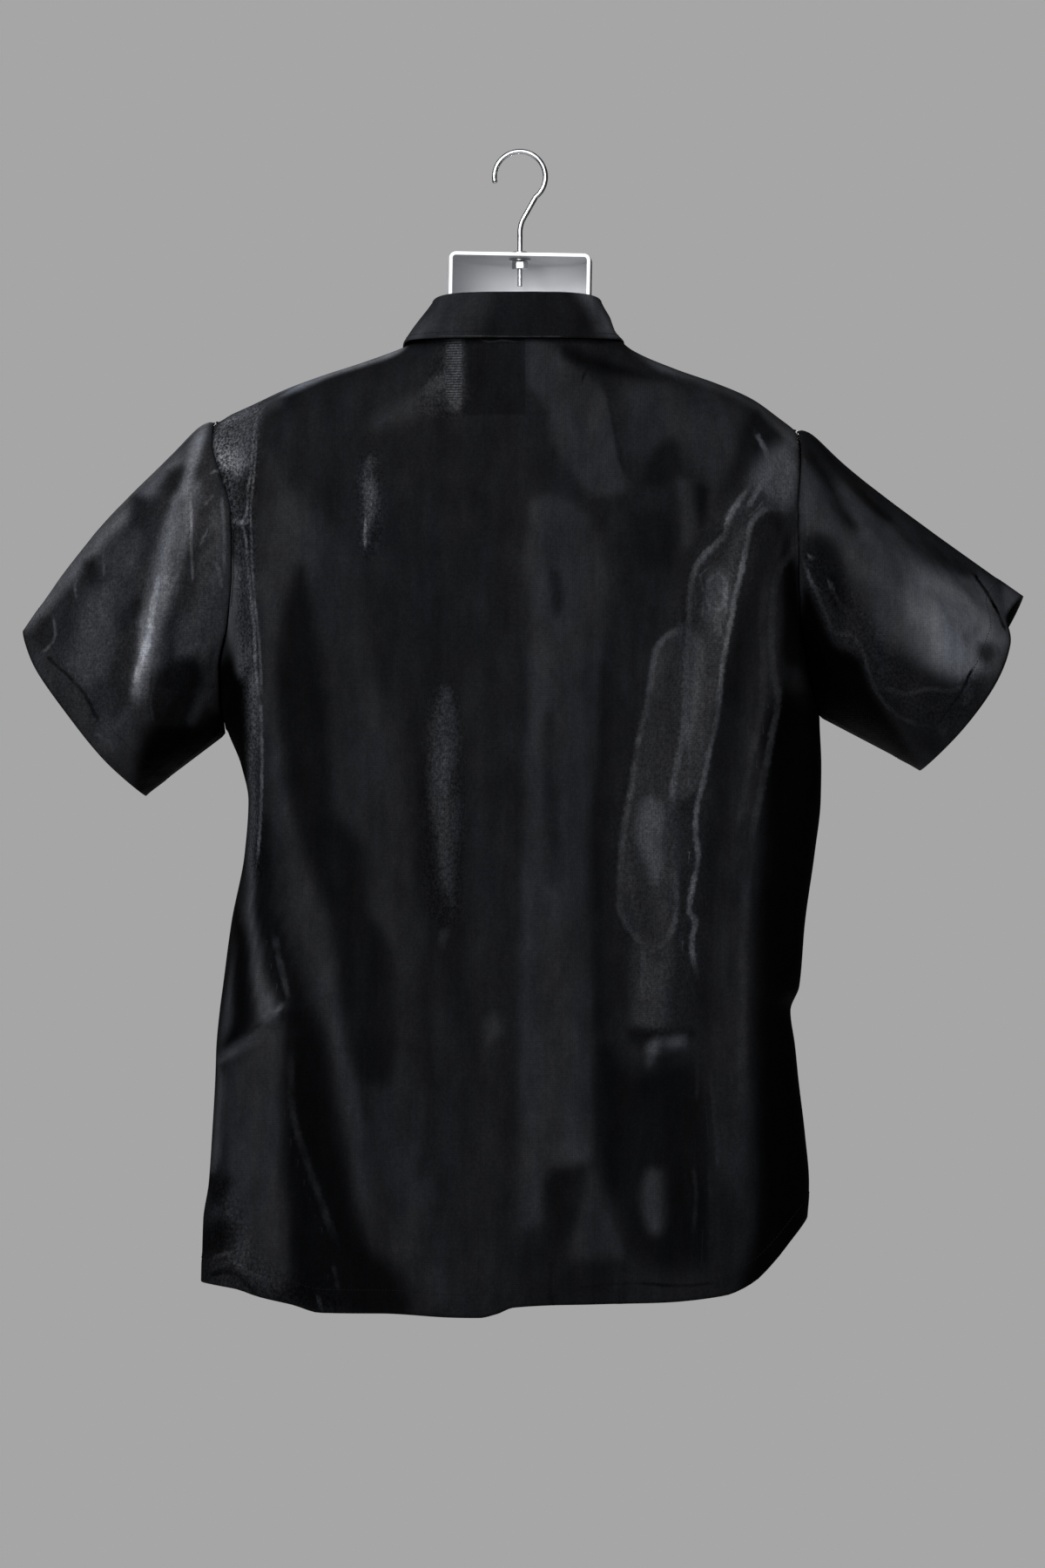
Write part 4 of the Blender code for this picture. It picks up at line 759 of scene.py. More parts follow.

# Painted highlights and painted shade in the cloth's colour, with the moiré of its sheer layers. Levels
# are display levels of
# 255. A patch is its level, the softness of its edge and its corners, and a line its level, half width
#      and places, in millimetres
paintedLightPatches = {
    "back": {
        "shoulder rim left": (118, 3, (92, -141), (125, -155), (172, -172), (198, -186), (199, -198),
            (170, -188), (124, -171), (92, -156)),
        "shoulder rim right": (62, 4, (-78, -142), (-118, -156), (-160, -170), (-192, -188),
            (-222, -214), (-216, -232), (-186, -204), (-150, -187), (-112, -173)),
        "left broad top": (37, 12, (196, -240), (200, -330), (199, -345), (182, -352), (172, -330),
            (163, -335), (150, -320), (146, -300), (160, -282), (182, -262)),
        "left band": (39, 9, (199, -335), (198, -420), (190, -500), (176, -580), (158, -650),
            (146, -720), (132, -780), (122, -850), (108, -850), (116, -780), (124, -720), (140, -650),
            (152, -590), (172, -540), (184, -480), (188, -420), (184, -360)),
        "middle band": (33, 9, (160, -315), (150, -400), (144, -450), (142, -510), (120, -545),
            (116, -590), (103, -615), (98, -650), (98, -710), (104, -740), (118, -770), (112, -850),
            (76, -850), (72, -760), (76, -680), (78, -600), (82, -540), (88, -490), (94, -440),
            (116, -410), (122, -370), (124, -330), (140, -305)),
        "dark tongue": (22, 7, (170, -326), (184, -370), (187, -410), (182, -470), (172, -530),
            (148, -590), (140, -640), (134, -690), (122, -730), (118, -752), (116, -728), (102, -724),
            (96, -690), (98, -650), (104, -612), (117, -590), (120, -548), (142, -515), (146, -470),
            (152, -420), (163, -350)),
        "dark gap": (24, 9, (80, -470), (74, -560), (70, -640), (66, -760), (76, -790), (72, -640),
            (62, -600), (66, -500)),
        "left skirt dark": (16, 11, (181, -668), (186, -710), (186, -770), (178, -830), (180, -892),
            (150, -906), (88, -904), (92, -872), (112, -858), (124, -830), (137, -770), (147, -710),
            (162, -668)),
        "left skirt panel": (38, 8, (184, -676), (186, -740), (184, -800), (180, -868), (196, -884),
            (226, -850), (228, -780), (230, -726), (212, -704), (198, -690)),
        "left panel glow": (37, 9, (186, -820), (184, -866), (204, -856), (212, -820), (200, -796)),
        "left edge strip": (54, 3, (236, -712), (240, -760), (243, -796), (236, -792), (232, -740)),
        "left edge blot": (20, 6, (248, -796), (226, -800), (230, -815), (238, -816)),
        "left edge blot low": (18, 7, (252, -838), (228, -832), (222, -846), (234, -858), (252, -856)),
        "left edge high": (46, 3, (216, -600), (226, -640), (234, -698), (226, -694), (222, -650),
            (219, -612)),
        "left valley": (15, 4, (220, -590), (222, -630), (222, -672), (232, -702), (216, -696),
            (209, -660), (211, -620)),
        "left flank band": (58, 4, (213, -415), (212, -530), (211, -590), (206, -640), (202, -676),
            (190, -668), (199, -636), (205, -590), (204, -540), (203, -415)),
        "left flank dark": (19, 4, (200, -520), (206, -560), (200, -610), (190, -650), (180, -664),
            (168, -660), (180, -620), (190, -580), (194, -530)),
        "diagonal fold": (50, 4, (184, -664), (202, -680), (236, -704), (240, -716), (214, -702),
            (196, -688)),
        "underarm shadow": (7, 6, (240, -410), (222, -392), (213, -408), (211, -470), (214, -490),
            (224, -482), (236, -455)),
        "seam to ridge": (44, 4, (222, -300), (221, -380), (212, -404), (205, -400), (205, -350),
            (212, -315)),
        "seam to ridge glow": (60, 4, (228, -318), (231, -360), (223, -400), (214, -410), (217, -380),
            (219, -330)),
        "yoke glitter": (62, 6, (238, -212), (218, -200), (200, -192), (186, -197), (200, -206),
            (208, -226), (214, -258), (222, -262), (230, -246), (240, -236)),
        "yoke bright": (76, 5, (241, -222), (236, -222), (226, -236), (214, -240), (214, -250),
            (224, -252), (234, -246), (240, -236)),
        "yoke top": (84, 4, (236, -206), (226, -202), (214, -196), (204, -194), (208, -203),
            (222, -211), (234, -215)),
        "yoke under glitter": (40, 4, (230, -252), (224, -290), (212, -288), (214, -262)),
        "centre streak": (44, 5, (68, -436), (70, -490), (66, -530), (56, -585), (50, -560), (48, -500),
            (50, -440), (58, -418)),
        "short streak": (52, 4, (119, -248), (111, -249), (110, -276), (116, -292), (120, -308),
            (121, -286)),
        "threads by label": (46, 3, (57, -148), (57, -200), (45, -200), (45, -148)),
        "spot by label": (56, 6, (60, -176), (74, -192), (72, -200), (60, -194)),
        "streak by label": (38, 9, (62, -186), (112, -208), (114, -222), (64, -206)),
        "second streak": (28, 6, (56, -232), (112, -246), (110, -262), (60, -244)),
        "low spot": (38, 6, (27, -676), (18, -670), (14, -684), (26, -692)),
        "small spot": (40, 2, (61, -606), (55, -610), (59, -622), (63, -616)),
        "hem oval": (36, 8, (72, -866), (60, -866), (56, -890), (70, -900)),
        "centre band": (37, 6, (-4, -290), (-20, -272), (-46, -282), (-62, -300), (-66, -360),
            (-64, -440), (-54, -520), (-52, -600), (-58, -690), (-60, -770), (-46, -776), (-20, -800),
            (-4, -908), (0, -700), (-2, -500), (-6, -400)),
        "centre hem": (26, 8, (-2, -840), (-44, -846), (-82, -862), (-80, -900), (-2, -902)),
        "band dark streak": (29, 6, (-18, -450), (-20, -560), (-30, -560), (-28, -450)),
        "dark right of band": (27, 5, (-62, -400), (-60, -520), (-58, -640), (-62, -790), (-84, -800),
            (-86, -650), (-74, -600), (-76, -520), (-80, -430)),
        "diamond": (23, 7, (-24, -796), (-46, -786), (-50, -802), (-43, -842), (-24, -850),
            (-20, -820)),
        "triangle": (36, 7, (-56, -792), (-46, -830), (-40, -858), (-80, -860), (-66, -822)),
        "mark over diamond": (41, 6, (-18, -772), (-48, -768), (-54, -782), (-30, -788)),
        "neck patch": (39, 5, (-5, -150), (-36, -160), (-56, -180), (-68, -196), (-74, -226),
            (-82, -264), (-56, -270), (-34, -240), (-20, -200), (-5, -180)),
        "neck shadow": (18, 6, (-32, -152), (-60, -163), (-90, -172), (-116, -178), (-112, -185),
            (-84, -178), (-56, -172), (-36, -162)),
        "right yoke": (35, 12, (-84, -182), (-150, -186), (-180, -204), (-166, -240), (-152, -272),
            (-120, -230), (-86, -240)),
        "right yoke dark": (26, 6, (-184, -204), (-178, -234), (-164, -268), (-154, -284), (-158, -262),
            (-172, -226)),
        "yoke fold dark": (24, 6, (-107, -232), (-121, -229), (-127, -249), (-110, -262), (-93, -260)),
        "yoke fold tick": (21, 3, (-138, -264), (-146, -268), (-140, -296), (-136, -290)),
        "yoke fold light": (36, 5, (-122, -262), (-134, -264), (-132, -310), (-124, -306)),
        "yoke fold low": (23, 9, (-92, -286), (-116, -288), (-118, -324), (-94, -320)),
        "band mark": (27, 4, (-24, -330), (-31, -332), (-33, -352), (-28, -366), (-23, -350)),
        "right tip glow": (72, 9, (-200, -228), (-184, -244), (-178, -262), (-192, -276), (-206, -282),
            (-214, -262), (-216, -236), (-210, -226)),
        "fan A to B": (42, 4, (-180, -264), (-160, -286), (-157, -302), (-136, -324), (-132, -350),
            (-130, -400), (-128, -450), (-119, -505), (-138, -500), (-150, -460), (-155, -420),
            (-160, -380), (-168, -340), (-176, -300), (-192, -280)),
        "fan bright": (58, 4, (-128, -380), (-128, -440), (-124, -462), (-132, -464), (-138, -430),
            (-142, -400), (-140, -382)),
        "fan C body": (39, 5, (-128, -374), (-112, -382), (-103, -400), (-97, -440), (-86, -500),
            (-78, -560), (-78, -596), (-98, -622), (-114, -614), (-120, -580), (-124, -500),
            (-128, -440)),
        "ring body": (52, 3, (-144, -330), (-144, -362), (-152, -374), (-160, -362), (-160, -332),
            (-152, -326)),
        "oval": (60, 5, (-94, -508), (-90, -535), (-96, -554), (-104, -570), (-110, -545), (-112, -520),
            (-104, -506)),
        "loop foot": (44, 9, (-92, -616), (-88, -660), (-90, -688), (-112, -690), (-114, -660),
            (-116, -614), (-104, -626)),
        "fold mark shadow": (22, 5, (-84, -684), (-110, -686), (-136, -689), (-136, -693), (-110, -691),
            (-92, -700)),
        "fold mark": (52, 4, (-98, -714), (-98, -700), (-106, -692), (-112, -696), (-106, -704)),
        "fold mark end": (48, 4, (-112, -694), (-126, -692), (-126, -699), (-114, -700)),
        "lower dark": (20, 11, (-62, -700), (-92, -718), (-130, -712), (-146, -760), (-146, -860),
            (-92, -862), (-74, -820), (-62, -780)),
        "low oval": (40, 6, (-98, -790), (-92, -810), (-98, -838), (-106, -842), (-112, -826),
            (-110, -794)),
        "D body": (30, 6, (-186, -330), (-196, -380), (-198, -430), (-190, -480), (-180, -540),
            (-174, -600), (-172, -700), (-172, -790), (-166, -820), (-160, -790), (-158, -700),
            (-158, -600), (-166, -520), (-180, -450), (-186, -400), (-182, -350)),
        "A to D dark": (26, 5, (-176, -330), (-178, -400), (-166, -470), (-156, -540), (-146, -640),
            (-150, -720), (-142, -700), (-142, -600), (-146, -520), (-160, -440), (-166, -380)),
        "right dark": (11, 9, (-196, -430), (-190, -520), (-184, -620), (-184, -820), (-176, -890),
            (-260, -900), (-260, -430)),
        "right armhole dark": (16, 5, (-204, -330), (-206, -420), (-230, -430), (-224, -380),
            (-218, -330)),
        "right armhole mark": (27, 6, (-204, -404), (-208, -420), (-222, -420), (-218, -404)),
        "right low band": (27, 4, (-150, -800), (-148, -880), (-164, -886), (-168, -840), (-164, -806)),
    },
    "front": {
        "side left": (10, 9, (206, -440), (200, -560), (206, -700), (214, -890), (270, -900),
            (270, -430)),
        "side right": (8, 9, (-206, -430), (-200, -560), (-200, -800), (-180, -900), (-270, -910),
            (-270, -430)),
        "chest left": (38, 14, (40, -250), (130, -236), (160, -290), (130, -350), (84, -380),
            (56, -330)),
        "chest right": (38, 14, (-60, -262), (-120, -240), (-150, -262), (-120, -330), (-80, -340)),
    },
    "sleeve_left back": {
        "under": (5, 8, (300, -480), (284, -450), (262, -446), (240, -440), (228, -440), (240, -480),
            (290, -520)),
        "top rim": (80, 6, (246, -206), (266, -220), (328, -282), (388, -352), (398, -372), (382, -371),
            (316, -298), (258, -238)),
        "near armhole": (45, 9, (262, -270), (270, -330), (274, -390), (240, -396), (228, -350),
            (230, -290), (244, -262)),
        "halo": (46, 6, (246, -222), (256, -262), (262, -300), (270, -350), (276, -400), (292, -422),
            (296, -390), (288, -340), (276, -290), (264, -240), (256, -222)),
        "streak halo": (66, 8, (248, -262), (262, -262), (288, -330), (300, -380), (309, -418),
            (300, -432), (289, -425), (276, -380), (266, -330), (254, -292)),
        "streak head": (104, 4, (245, -212), (254, -212), (262, -240), (267, -268), (258, -272),
            (251, -240)),
        "streak glow": (92, 5, (264, -270), (270, -270), (280, -316), (290, -350), (298, -385),
            (304, -420), (297, -425), (289, -400), (281, -360), (272, -316)),
        "dark by streak": (33, 5, (298, -370), (302, -432), (318, -432), (316, -376)),
        "dark high": (32, 6, (290, -272), (304, -268), (306, -290), (292, -296)),
        "dark middle": (28, 5, (330, -316), (342, -320), (340, -336), (330, -338)),
        "haze": (52, 9, (318, -384), (330, -372), (352, -400), (342, -414), (326, -404)),
        "haze low": (46, 7, (300, -440), (316, -446), (330, -462), (314, -474), (300, -462)),
        "haze high": (48, 8, (296, -300), (318, -300), (330, -318), (312, -330), (298, -322)),
        "dark high 2": (31, 6, (262, -246), (274, -246), (282, -262), (270, -268)),
        "dark diagonal": (28, 3, (296, -346), (306, -350), (318, -370), (310, -376), (298, -362)),
        "broad light": (45, 9, (308, -338), (320, -332), (346, -368), (334, -410), (318, -402)),
        "cuff diamond": (29, 4, (367, -364), (376, -368), (379, -384), (371, -392), (363, -380)),
        "blob": (20, 6, (278, -404), (264, -396), (252, -399), (248, -412), (256, -424), (268, -432),
            (280, -428), (284, -416)),
        "below blob": (23, 4, (282, -420), (286, -446), (250, -450), (246, -428)),
        "underarm strip": (44, 3, (240, -418), (244, -432), (256, -450), (260, -444), (250, -426)),
    },
    "sleeve_left front": {
        "under": (9, 9, (310, -490), (284, -450), (262, -430), (240, -420), (228, -440), (240, -480),
            (290, -520)),
        "rim": (50, 6, (250, -222), (330, -290), (388, -366), (372, -366), (310, -300), (250, -240)),
        "broad": (48, 8, (262, -260), (290, -320), (312, -400), (290, -420), (270, -340)),
    },
    "sleeve_right back": {
        "upper": (47, 13, (-224, -244), (-262, -262), (-330, -310), (-372, -340), (-378, -386),
            (-330, -404), (-290, -384), (-262, -340), (-240, -304), (-222, -290)),
        "light": (62, 14, (-296, -318), (-336, -330), (-368, -350), (-380, -380), (-362, -410),
            (-334, -412), (-310, -394), (-298, -356)),
        "glow": (90, 15, (-306, -334), (-340, -334), (-366, -350), (-374, -384), (-352, -406),
            (-322, -398)),
        "near armhole": (47, 5, (-222, -246), (-234, -262), (-240, -292), (-226, -290)),
        "dark streak": (24, 6, (-222, -222), (-234, -236), (-250, -272), (-262, -296), (-252, -292),
            (-238, -262), (-226, -240)),
        "second streak": (27, 4, (-250, -244), (-268, -262), (-292, -284), (-286, -288), (-262, -268)),
        "top edge": (31, 5, (-316, -300), (-346, -318), (-360, -332), (-340, -328)),
        "armhole dark": (22, 7, (-222, -306), (-242, -306), (-250, -330), (-256, -356), (-240, -352),
            (-222, -332)),
        "lower": (27, 9, (-262, -384), (-300, -400), (-340, -414), (-362, -410), (-350, -446),
            (-320, -470), (-290, -440)),
        "under": (7, 5, (-220, -346), (-232, -362), (-244, -384), (-262, -396), (-274, -422),
            (-292, -448), (-316, -492), (-262, -486), (-214, -430)),
        "wing": (58, 3, (-380, -340), (-400, -348), (-384, -364)),
        "dimple": (38, 5, (-358, -384), (-368, -383), (-372, -392), (-364, -400), (-357, -394)),
        "cuff mottle": (36, 3, (-344, -418), (-350, -412), (-352, -424), (-346, -432)),
        "cuff spot": (34, 2.6, (-326, -448), (-333, -448), (-332, -454)),
    },
    "sleeve_right front": {
        "under": (7, 9, (-220, -400), (-262, -416), (-300, -440), (-326, -480), (-316, -500),
            (-262, -486), (-214, -430)),
        "light": (46, 10, (-250, -262), (-320, -310), (-368, -360), (-330, -420), (-290, -400),
            (-262, -330)),
    },
    "collar": {
        "left end": (60, 7, (100, -110), (62, -108), (48, -112), (54, -128), (70, -148), (100, -160)),
        "left": (38, 13, (60, -110), (30, -110), (26, -130), (44, -150), (70, -150)),
        "right corner": (78, 10, (-46, -112), (-66, -114), (-90, -150), (-70, -150), (-56, -128)),
    },
}
# Painted highlight lines and painted shade lines, some of them the moiré of the sheer layers
paintedLightLines = {
    "back": {
        "ridge": (64, 1.5, (176, -184), (196, -196), (206, -214), (209, -246), (211, -266), (212, -284),
            (216, -291), (213, -302), (211, -325), (209, -346), (206, -372), (205, -398), (203, -430)),
        "ridge knot": (70, 2.4, (223, -290), (216, -291), (210, -290)),
        "ridge thread": (56, 1.2, (205, -214), (206, -246), (208, -268), (209, -284), (208, -310),
            (206, -346), (203, -372), (201, -398), (200, -425)),
        "flank thread": (60, 1.6, (201, -430), (200, -480), (202, -530), (204, -556)),
        "flank low": (33, 3, (190, -612), (184, -640), (179, -660)),
        "diagonal": (56, 2.4, (183, -664), (199, -682), (216, -697), (238, -712)),
        "skirt line": (26, 3.4, (177, -700), (176, -742), (171, -766), (162, -792), (152, -820),
            (142, -846)),
        "fold light 1": (40, 2.2, (224, -862), (212, -870), (200, -878)),
        "fold light 2": (38, 2.2, (216, -850), (204, -862), (194, -876)),
        "fold light 3": (38, 2.2, (238, -862), (230, -858), (222, -856)),
        "fold dark": (20, 2.4, (240, -874), (222, -872), (206, -886)),
        "short tail": (66, 1.3, (119, -290), (120, -300), (120, -310)),
        "fray": (46, 0.8, (31, -150), (22, -151.4), (12, -150.2), (4, -151.6), (-5, -150.8)),
        "neck tick": (24, 1.2, (-54, -170), (-49, -178), (-48, -184)),
        "patch edge": (27, 2.2, (-66, -186), (-71, -204), (-76, -232), (-82, -256)),
        "fan B": (57, 3, (-184, -260), (-172, -272), (-162, -288), (-158, -302), (-146, -314),
            (-136, -327), (-132, -345), (-131, -372), (-129, -400), (-128, -430), (-125, -462),
            (-119, -492), (-118, -510)),
        "fan A": (58, 2.6, (-206, -281), (-192, -281), (-180, -290), (-176, -306), (-171, -330),
            (-167, -346), (-163, -366), (-158, -394), (-155, -416), (-153, -440), (-147, -466),
            (-142, -492), (-137, -512), (-136, -532), (-138, -552), (-133, -576), (-131, -592),
            (-136, -600), (-133, -616), (-136, -640)),
        "fan C": (47, 3, (-128, -373), (-113, -380), (-105, -392), (-102, -412), (-98, -436),
            (-92, -460), (-88, -486), (-84, -510), (-80, -532), (-78, -560), (-78, -590), (-85, -606),
            (-94, -616), (-100, -622)),
        "fan C right": (46, 2.8, (-120, -560), (-121, -582), (-119, -602), (-112, -616), (-100, -624)),
        "foot left": (46, 2.4, (-96, -622), (-95, -640), (-95, -662)),
        "foot right": (42, 2.8, (-108, -640), (-109, -660), (-106, -682)),
        "ring": (62, 2.4, (-152, -331), (-146, -337), (-145, -350), (-150, -360), (-157, -356),
            (-159, -344), (-157, -334), (-152, -331)),
        "ring tail": (54, 2.2, (-152, -362), (-151, -370), (-153, -380)),
        "fan D": (38, 3.4, (-214, -304), (-211, -314), (-202, -326), (-197, -345), (-194, -380),
            (-197, -408), (-200, -430), (-196, -452), (-190, -482), (-184, -512), (-178, -542)),
        "fan D low": (34, 4.4, (-176, -556), (-174, -590), (-172, -640), (-172, -740)),
        "fan D inner": (35, 3.4, (-190, -340), (-187, -372), (-189, -404), (-186, -440), (-178, -480),
            (-169, -528)),
        "fan D inner low": (31, 4.2, (-167, -540), (-161, -590), (-158, -660)),
        "tip fold 1": (76, 2.6, (-184, -222), (-192, -238), (-196, -256)),
        "tip fold 2": (74, 2.6, (-206, -232), (-198, -248), (-186, -264), (-176, -280)),
        "armhole glint": (40, 1.4, (-221, -394), (-225, -404), (-229, -416)),
        "low line 1": (28, 2, (-138, -640), (-138, -690), (-137, -740)),
        "low line 2": (31, 2, (-147, -716), (-150, -744), (-153, -790)),
        "low line 3": (27, 2.8, (-147, -790), (-148, -830), (-147, -870)),
        "low line 4": (28, 2, (-134, -790), (-136, -812), (-134, -840)),
        "hem thread": (23, 1.4, (-44, -882), (-86, -879), (-124, -881), (-150, -879)),
        "hem crease 1": (22, 2.4, (-24, -860), (-23, -884), (-26, -902)),
        "hem crease 2": (24, 1, (-76, -880), (-77, -896)),
        "hem crease 3": (30, 2, (156, -888), (153, -900)),
        "hem crease 4": (24, 2, (144, -866), (140, -884)),
    },
    "front": {
        "left seam": (46, 2.6, (206, -300), (197, -380), (200, -440), (206, -560)),
        "right seam": (46, 2.8, (-206, -320), (-192, -400), (-198, -480), (-196, -600)),
    },
    "sleeve_left back": {
        "streak core": (122, 3, (280, -330), (284, -352), (288, -376), (294, -398), (299, -416)),
        "thin line": (80, 1.3, (256, -268), (255, -294), (255, -318), (254, -336)),
        "tick 1": (74, 1.2, (249, -310), (246, -304), (243, -297)),
        "tick 2": (62, 1.2, (245, -278), (241, -272), (238, -268)),
        "tick 3": (64, 1.6, (236, -322), (233, -332), (232, -342)),
        "tick 4": (58, 1.4, (326, -306), (326, -318), (325, -330)),
        "tick 5": (56, 1.4, (345, -328), (348, -338), (346, -350)),
        "tick 6": (60, 1.4, (240, -252), (236, -250), (232, -252)),
        "diamond edge": (54, 1.6, (366, -364), (364, -376), (368, -386), (373, -391)),
        "seam side": (56, 1.8, (232, -270), (230, -296), (230, -326)),
        "blob edge": (36, 1.4, (286, -410), (288, -430), (286, -446)),
        "hem shade": (26, 1.6, (370, -394), (352, -410), (338, -426), (328, -446)),
        "folds low": (50, 1.8, (330, -455), (320, -462), (316, -470)),
    },
    "sleeve_left front": {
        "streak": (96, 3.6, (258, -250), (272, -310), (290, -380), (300, -420)),
        "thin": (60, 1.4, (320, -300), (330, -330), (350, -366)),
    },
    "sleeve_right back": {
        "moire": (36, 1.8, (-220, -318), (-224, -332), (-231, -346), (-238, -362), (-244, -376),
            (-258, -379), (-267, -391), (-271, -404), (-276, -418), (-284, -430), (-296, -441),
            (-312, -448)),
        "moire level": (36, 2.6, (-284, -419), (-300, -424), (-318, -420), (-334, -422), (-346, -416)),
        "moire inner": (30, 2.6, (-240, -340), (-252, -358), (-262, -366), (-274, -388), (-282, -404)),
        "glint 1": (44, 2.2, (-222, -316), (-227, -319)),
        "glint 2": (48, 2.4, (-240, -336), (-243, -343)),
        "glint 3": (38, 2, (-224, -328), (-226, -338), (-232, -344)),
        "cuff fold": (20, 1.5, (-357, -328), (-366, -342), (-374, -358), (-380, -374)),
        "dimple edge": (54, 1.8, (-372, -386), (-374, -394), (-368, -402), (-360, -404)),
        "seam side": (46, 1.5, (-222, -240), (-223, -262), (-224, -300)),
        "hem shade": (22, 1.3, (-352, -404), (-342, -424), (-326, -446)),
    },
    "sleeve_right front": {
        "streak": (60, 2.6, (-250, -300), (-280, -350), (-310, -410)),
    },
    "collar": {
        "lower edge": (46, 0.6, (64, -147.2), (30, -147.4), (0, -147.8), (-34, -147.6)),
    },
}
# Each piece's starting level: the cloth's own dark colour, with painted light making the left sleeve
# lighter
clothAndLightLevels = {"stand": 26, "back": 29, "front": 29, "sleeve_left back": 37, "sleeve_left front": 38,
            "sleeve_right back": 30, "sleeve_right front": 30, "collar": 26}

backOnly = (
    "yoke glitter", "yoke bright", "yoke top", "yoke under glitter",
    "seam to ridge", "seam to ridge glow", "threads by label", "spot by label",
    "streak by label", "second streak", "neck patch", "neck shadow", "right armhole dark",
    "right armhole mark", "underarm shadow", "ridge", "ridge knot", "ridge thread",
    "flank thread", "fray", "neck tick", "patch edge", "armhole glint", "fold light 1",
    "fold light 2", "fold light 3", "hem thread", "short streak", "short tail", "diagonal",
    "diagonal fold", "yoke fold dark", "yoke fold tick",
)

# Where the painted light sparkles most, a grain of painted glints: how much, the edge's softness and
# the corners
evenGlitter = 0.22
glitter = {
    "back": {
        "yoke": (1.8, 6, (242, -205), (196, -190), (206, -215), (212, -290), (226, -300)),
        "ridge": (1.2, 4, (222, -200), (222, -300), (218, -420), (208, -560), (201, -560), (202, -420),
            (206, -300), (204, -200)),
        "fan": (0.5, 10, (-214, -230), (-150, -290), (-122, -360), (-78, -500), (-76, -600),
            (-100, -700), (-140, -640), (-150, -480), (-178, -330), (-214, -280)),
        "left hem": (0.8, 8, (250, -790), (226, -800), (200, -860), (140, -890), (140, -910),
            (250, -890)),
        "streaks": (0.8, 5, (72, -430), (72, -590), (46, -590), (46, -430)),
        "short": (0.9, 4, (124, -246), (108, -246), (108, -310), (124, -310)),
        "neck": (0.7, 6, (60, -150), (44, -150), (44, -206), (78, -206)),
    },
    "front": {
        "chest": (0.5, 20, (-60, -230), (-180, -260), (-140, -600), (-70, -600)),
    },
    "sleeve_left back": {
        "all": (0.5, 20, (240, -220), (400, -370), (330, -460), (240, -410)),
    },
    "sleeve_left front": {
        "all": (0.5, 20, (240, -220), (400, -370), (330, -460), (240, -410)),
    },
    "sleeve_right back": {
        "moire": (0.7, 8, (-218, -310), (-250, -330), (-320, -420), (-360, -400), (-340, -450),
            (-280, -430), (-230, -370)),
    },
}


def smoothCurve(points, steps, closed=False):
    # A finely stepped curve through the points
    points = np.array(points, float)
    if closed:
        padded, last, slack = np.vstack((points[-1:], points, points[:2])), points[:1], 2.4
    else:
        padded = np.vstack((2 * points[0] - points[1], points, 2 * points[-1] - points[-2]))
        last, slack = points[-1:], 2
    shares = np.arange(steps)[:, None] / steps
    pieces = []
    for before, start, end, after in zip(padded, padded[1:], padded[2:], padded[3:]):
        pieces.append(hermite(start, end, (end - before) / slack, (after - start) / slack, shares))
    return np.vstack((*pieces, last))


def nearCurve(x, z, curve):
    # Distance to the curve, how far along it, and on which side, for each place
    best = np.full(x.shape, 1e9)
    along, side = np.zeros(x.shape), np.zeros(x.shape)
    ends = travelled(curve)
    for start, run, begin in zip(curve, np.diff(curve, axis=0), ends):
        length = math.hypot(*run)
        dx, dz = x - start[0], z - start[1]
        share = np.clip((dx * run[0] + dz * run[1]) / length**2, 0, 1)
        gap = np.hypot(dx - run[0] * share, dz - run[1] * share)
        closer = gap < best
        best = np.where(closer, gap, best)
        along = np.where(closer, (begin + share * length) / ends[-1], along)
        side = np.where(closer, np.sign(dx * run[1] - dz * run[0]), side)
    return best, along, side


creaseSides = (1.7, 0.75)        # how wide each side of a crease is against its half width


def foldRise(rows, x, z, sharp=False):
    # A crease is sharp on one side of its line, soft on the other, and dies out at both ends
    total = np.zeros(x.shape)
    for row in rows:
        *knots, spread, height = np.array(row) * mm
        curve = smoothCurve(np.reshape(knots, (3, 2)), 8 if sharp else 6)
        gap, along, side = nearCurve(x, z, curve)
        if sharp:
            spread = spread * np.where(side > 0, *creaseSides)
            ends = np.sin(np.pi * np.clip(along, 0, 1)) ** 0.6
        else:
            ends = 0.25 + 0.75 * smooth(0, 0.3, along) * smooth(0, 0.3, 1 - along)
        total += height * ends * np.exp(-((gap / spread) ** 2))
    return total


def clothRise(key, x, z, fade, fineFade):
    return foldRise(folds[key], x, z) * fade + foldRise(creases[key], x, z, sharp=True) * fineFade


def around(x, z, curve, reach):
    # Which places lie within reach of the curve's own box
    low, high = curve.min(axis=0) - reach, curve.max(axis=0) + reach
    return (x > low[0]) & (x < high[0]) & (z > low[1]) & (z < high[1])


def patchMask(x, z, softness, corners):
    # 1 inside the rounded shape through the corners and 0 outside it
    curve = smoothCurve(np.array(corners, float) * mm, 5, closed=True)
    mask = np.zeros(x.shape)
    here = around(x, z, curve, softness * mm)
    x, z = x[here], z[here]
    gap, _, _ = nearCurve(x, z, curve)
    inside = np.zeros(x.shape, bool)
    for first, last in zip(curve, curve[1:]):
        crosses = (first[1] > z) != (last[1] > z)
        rise = last[1] - first[1] if last[1] != first[1] else 1e-12
        inside ^= crosses & (x < first[0] + (last[0] - first[0]) * (z - first[1]) / rise)
    mask[here] = smooth(-softness * mm, softness * mm, np.where(inside, gap, -gap))
    return mask


def paintRows(table, key):
    # The front reuses the back's painted highlights and painted shade at the same places, all but
    # those that lie on the back alone
    shared = table["back"].items() if key == "front" else ()
    own = table.get(key, {}).values()
    return [row for name, row in shared if name not in backOnly] + list(own)


def painted(start, rows, x, z):
    amount = np.full(x.shape, float(start))
    for value, softness, *corners in rows:
        amount = lerp(amount, value, patchMask(x, z, softness, corners))
    return amount


lineSetting = {
    "sets": 3,
    "search": 9,                # millimetres past a line's half width
    "reach": 8,
    "fade": (3.2, 4.5),
    "ends": (-0.02, 0.06),
    "apart": (0.3 * mm, 2.5 * mm),
}


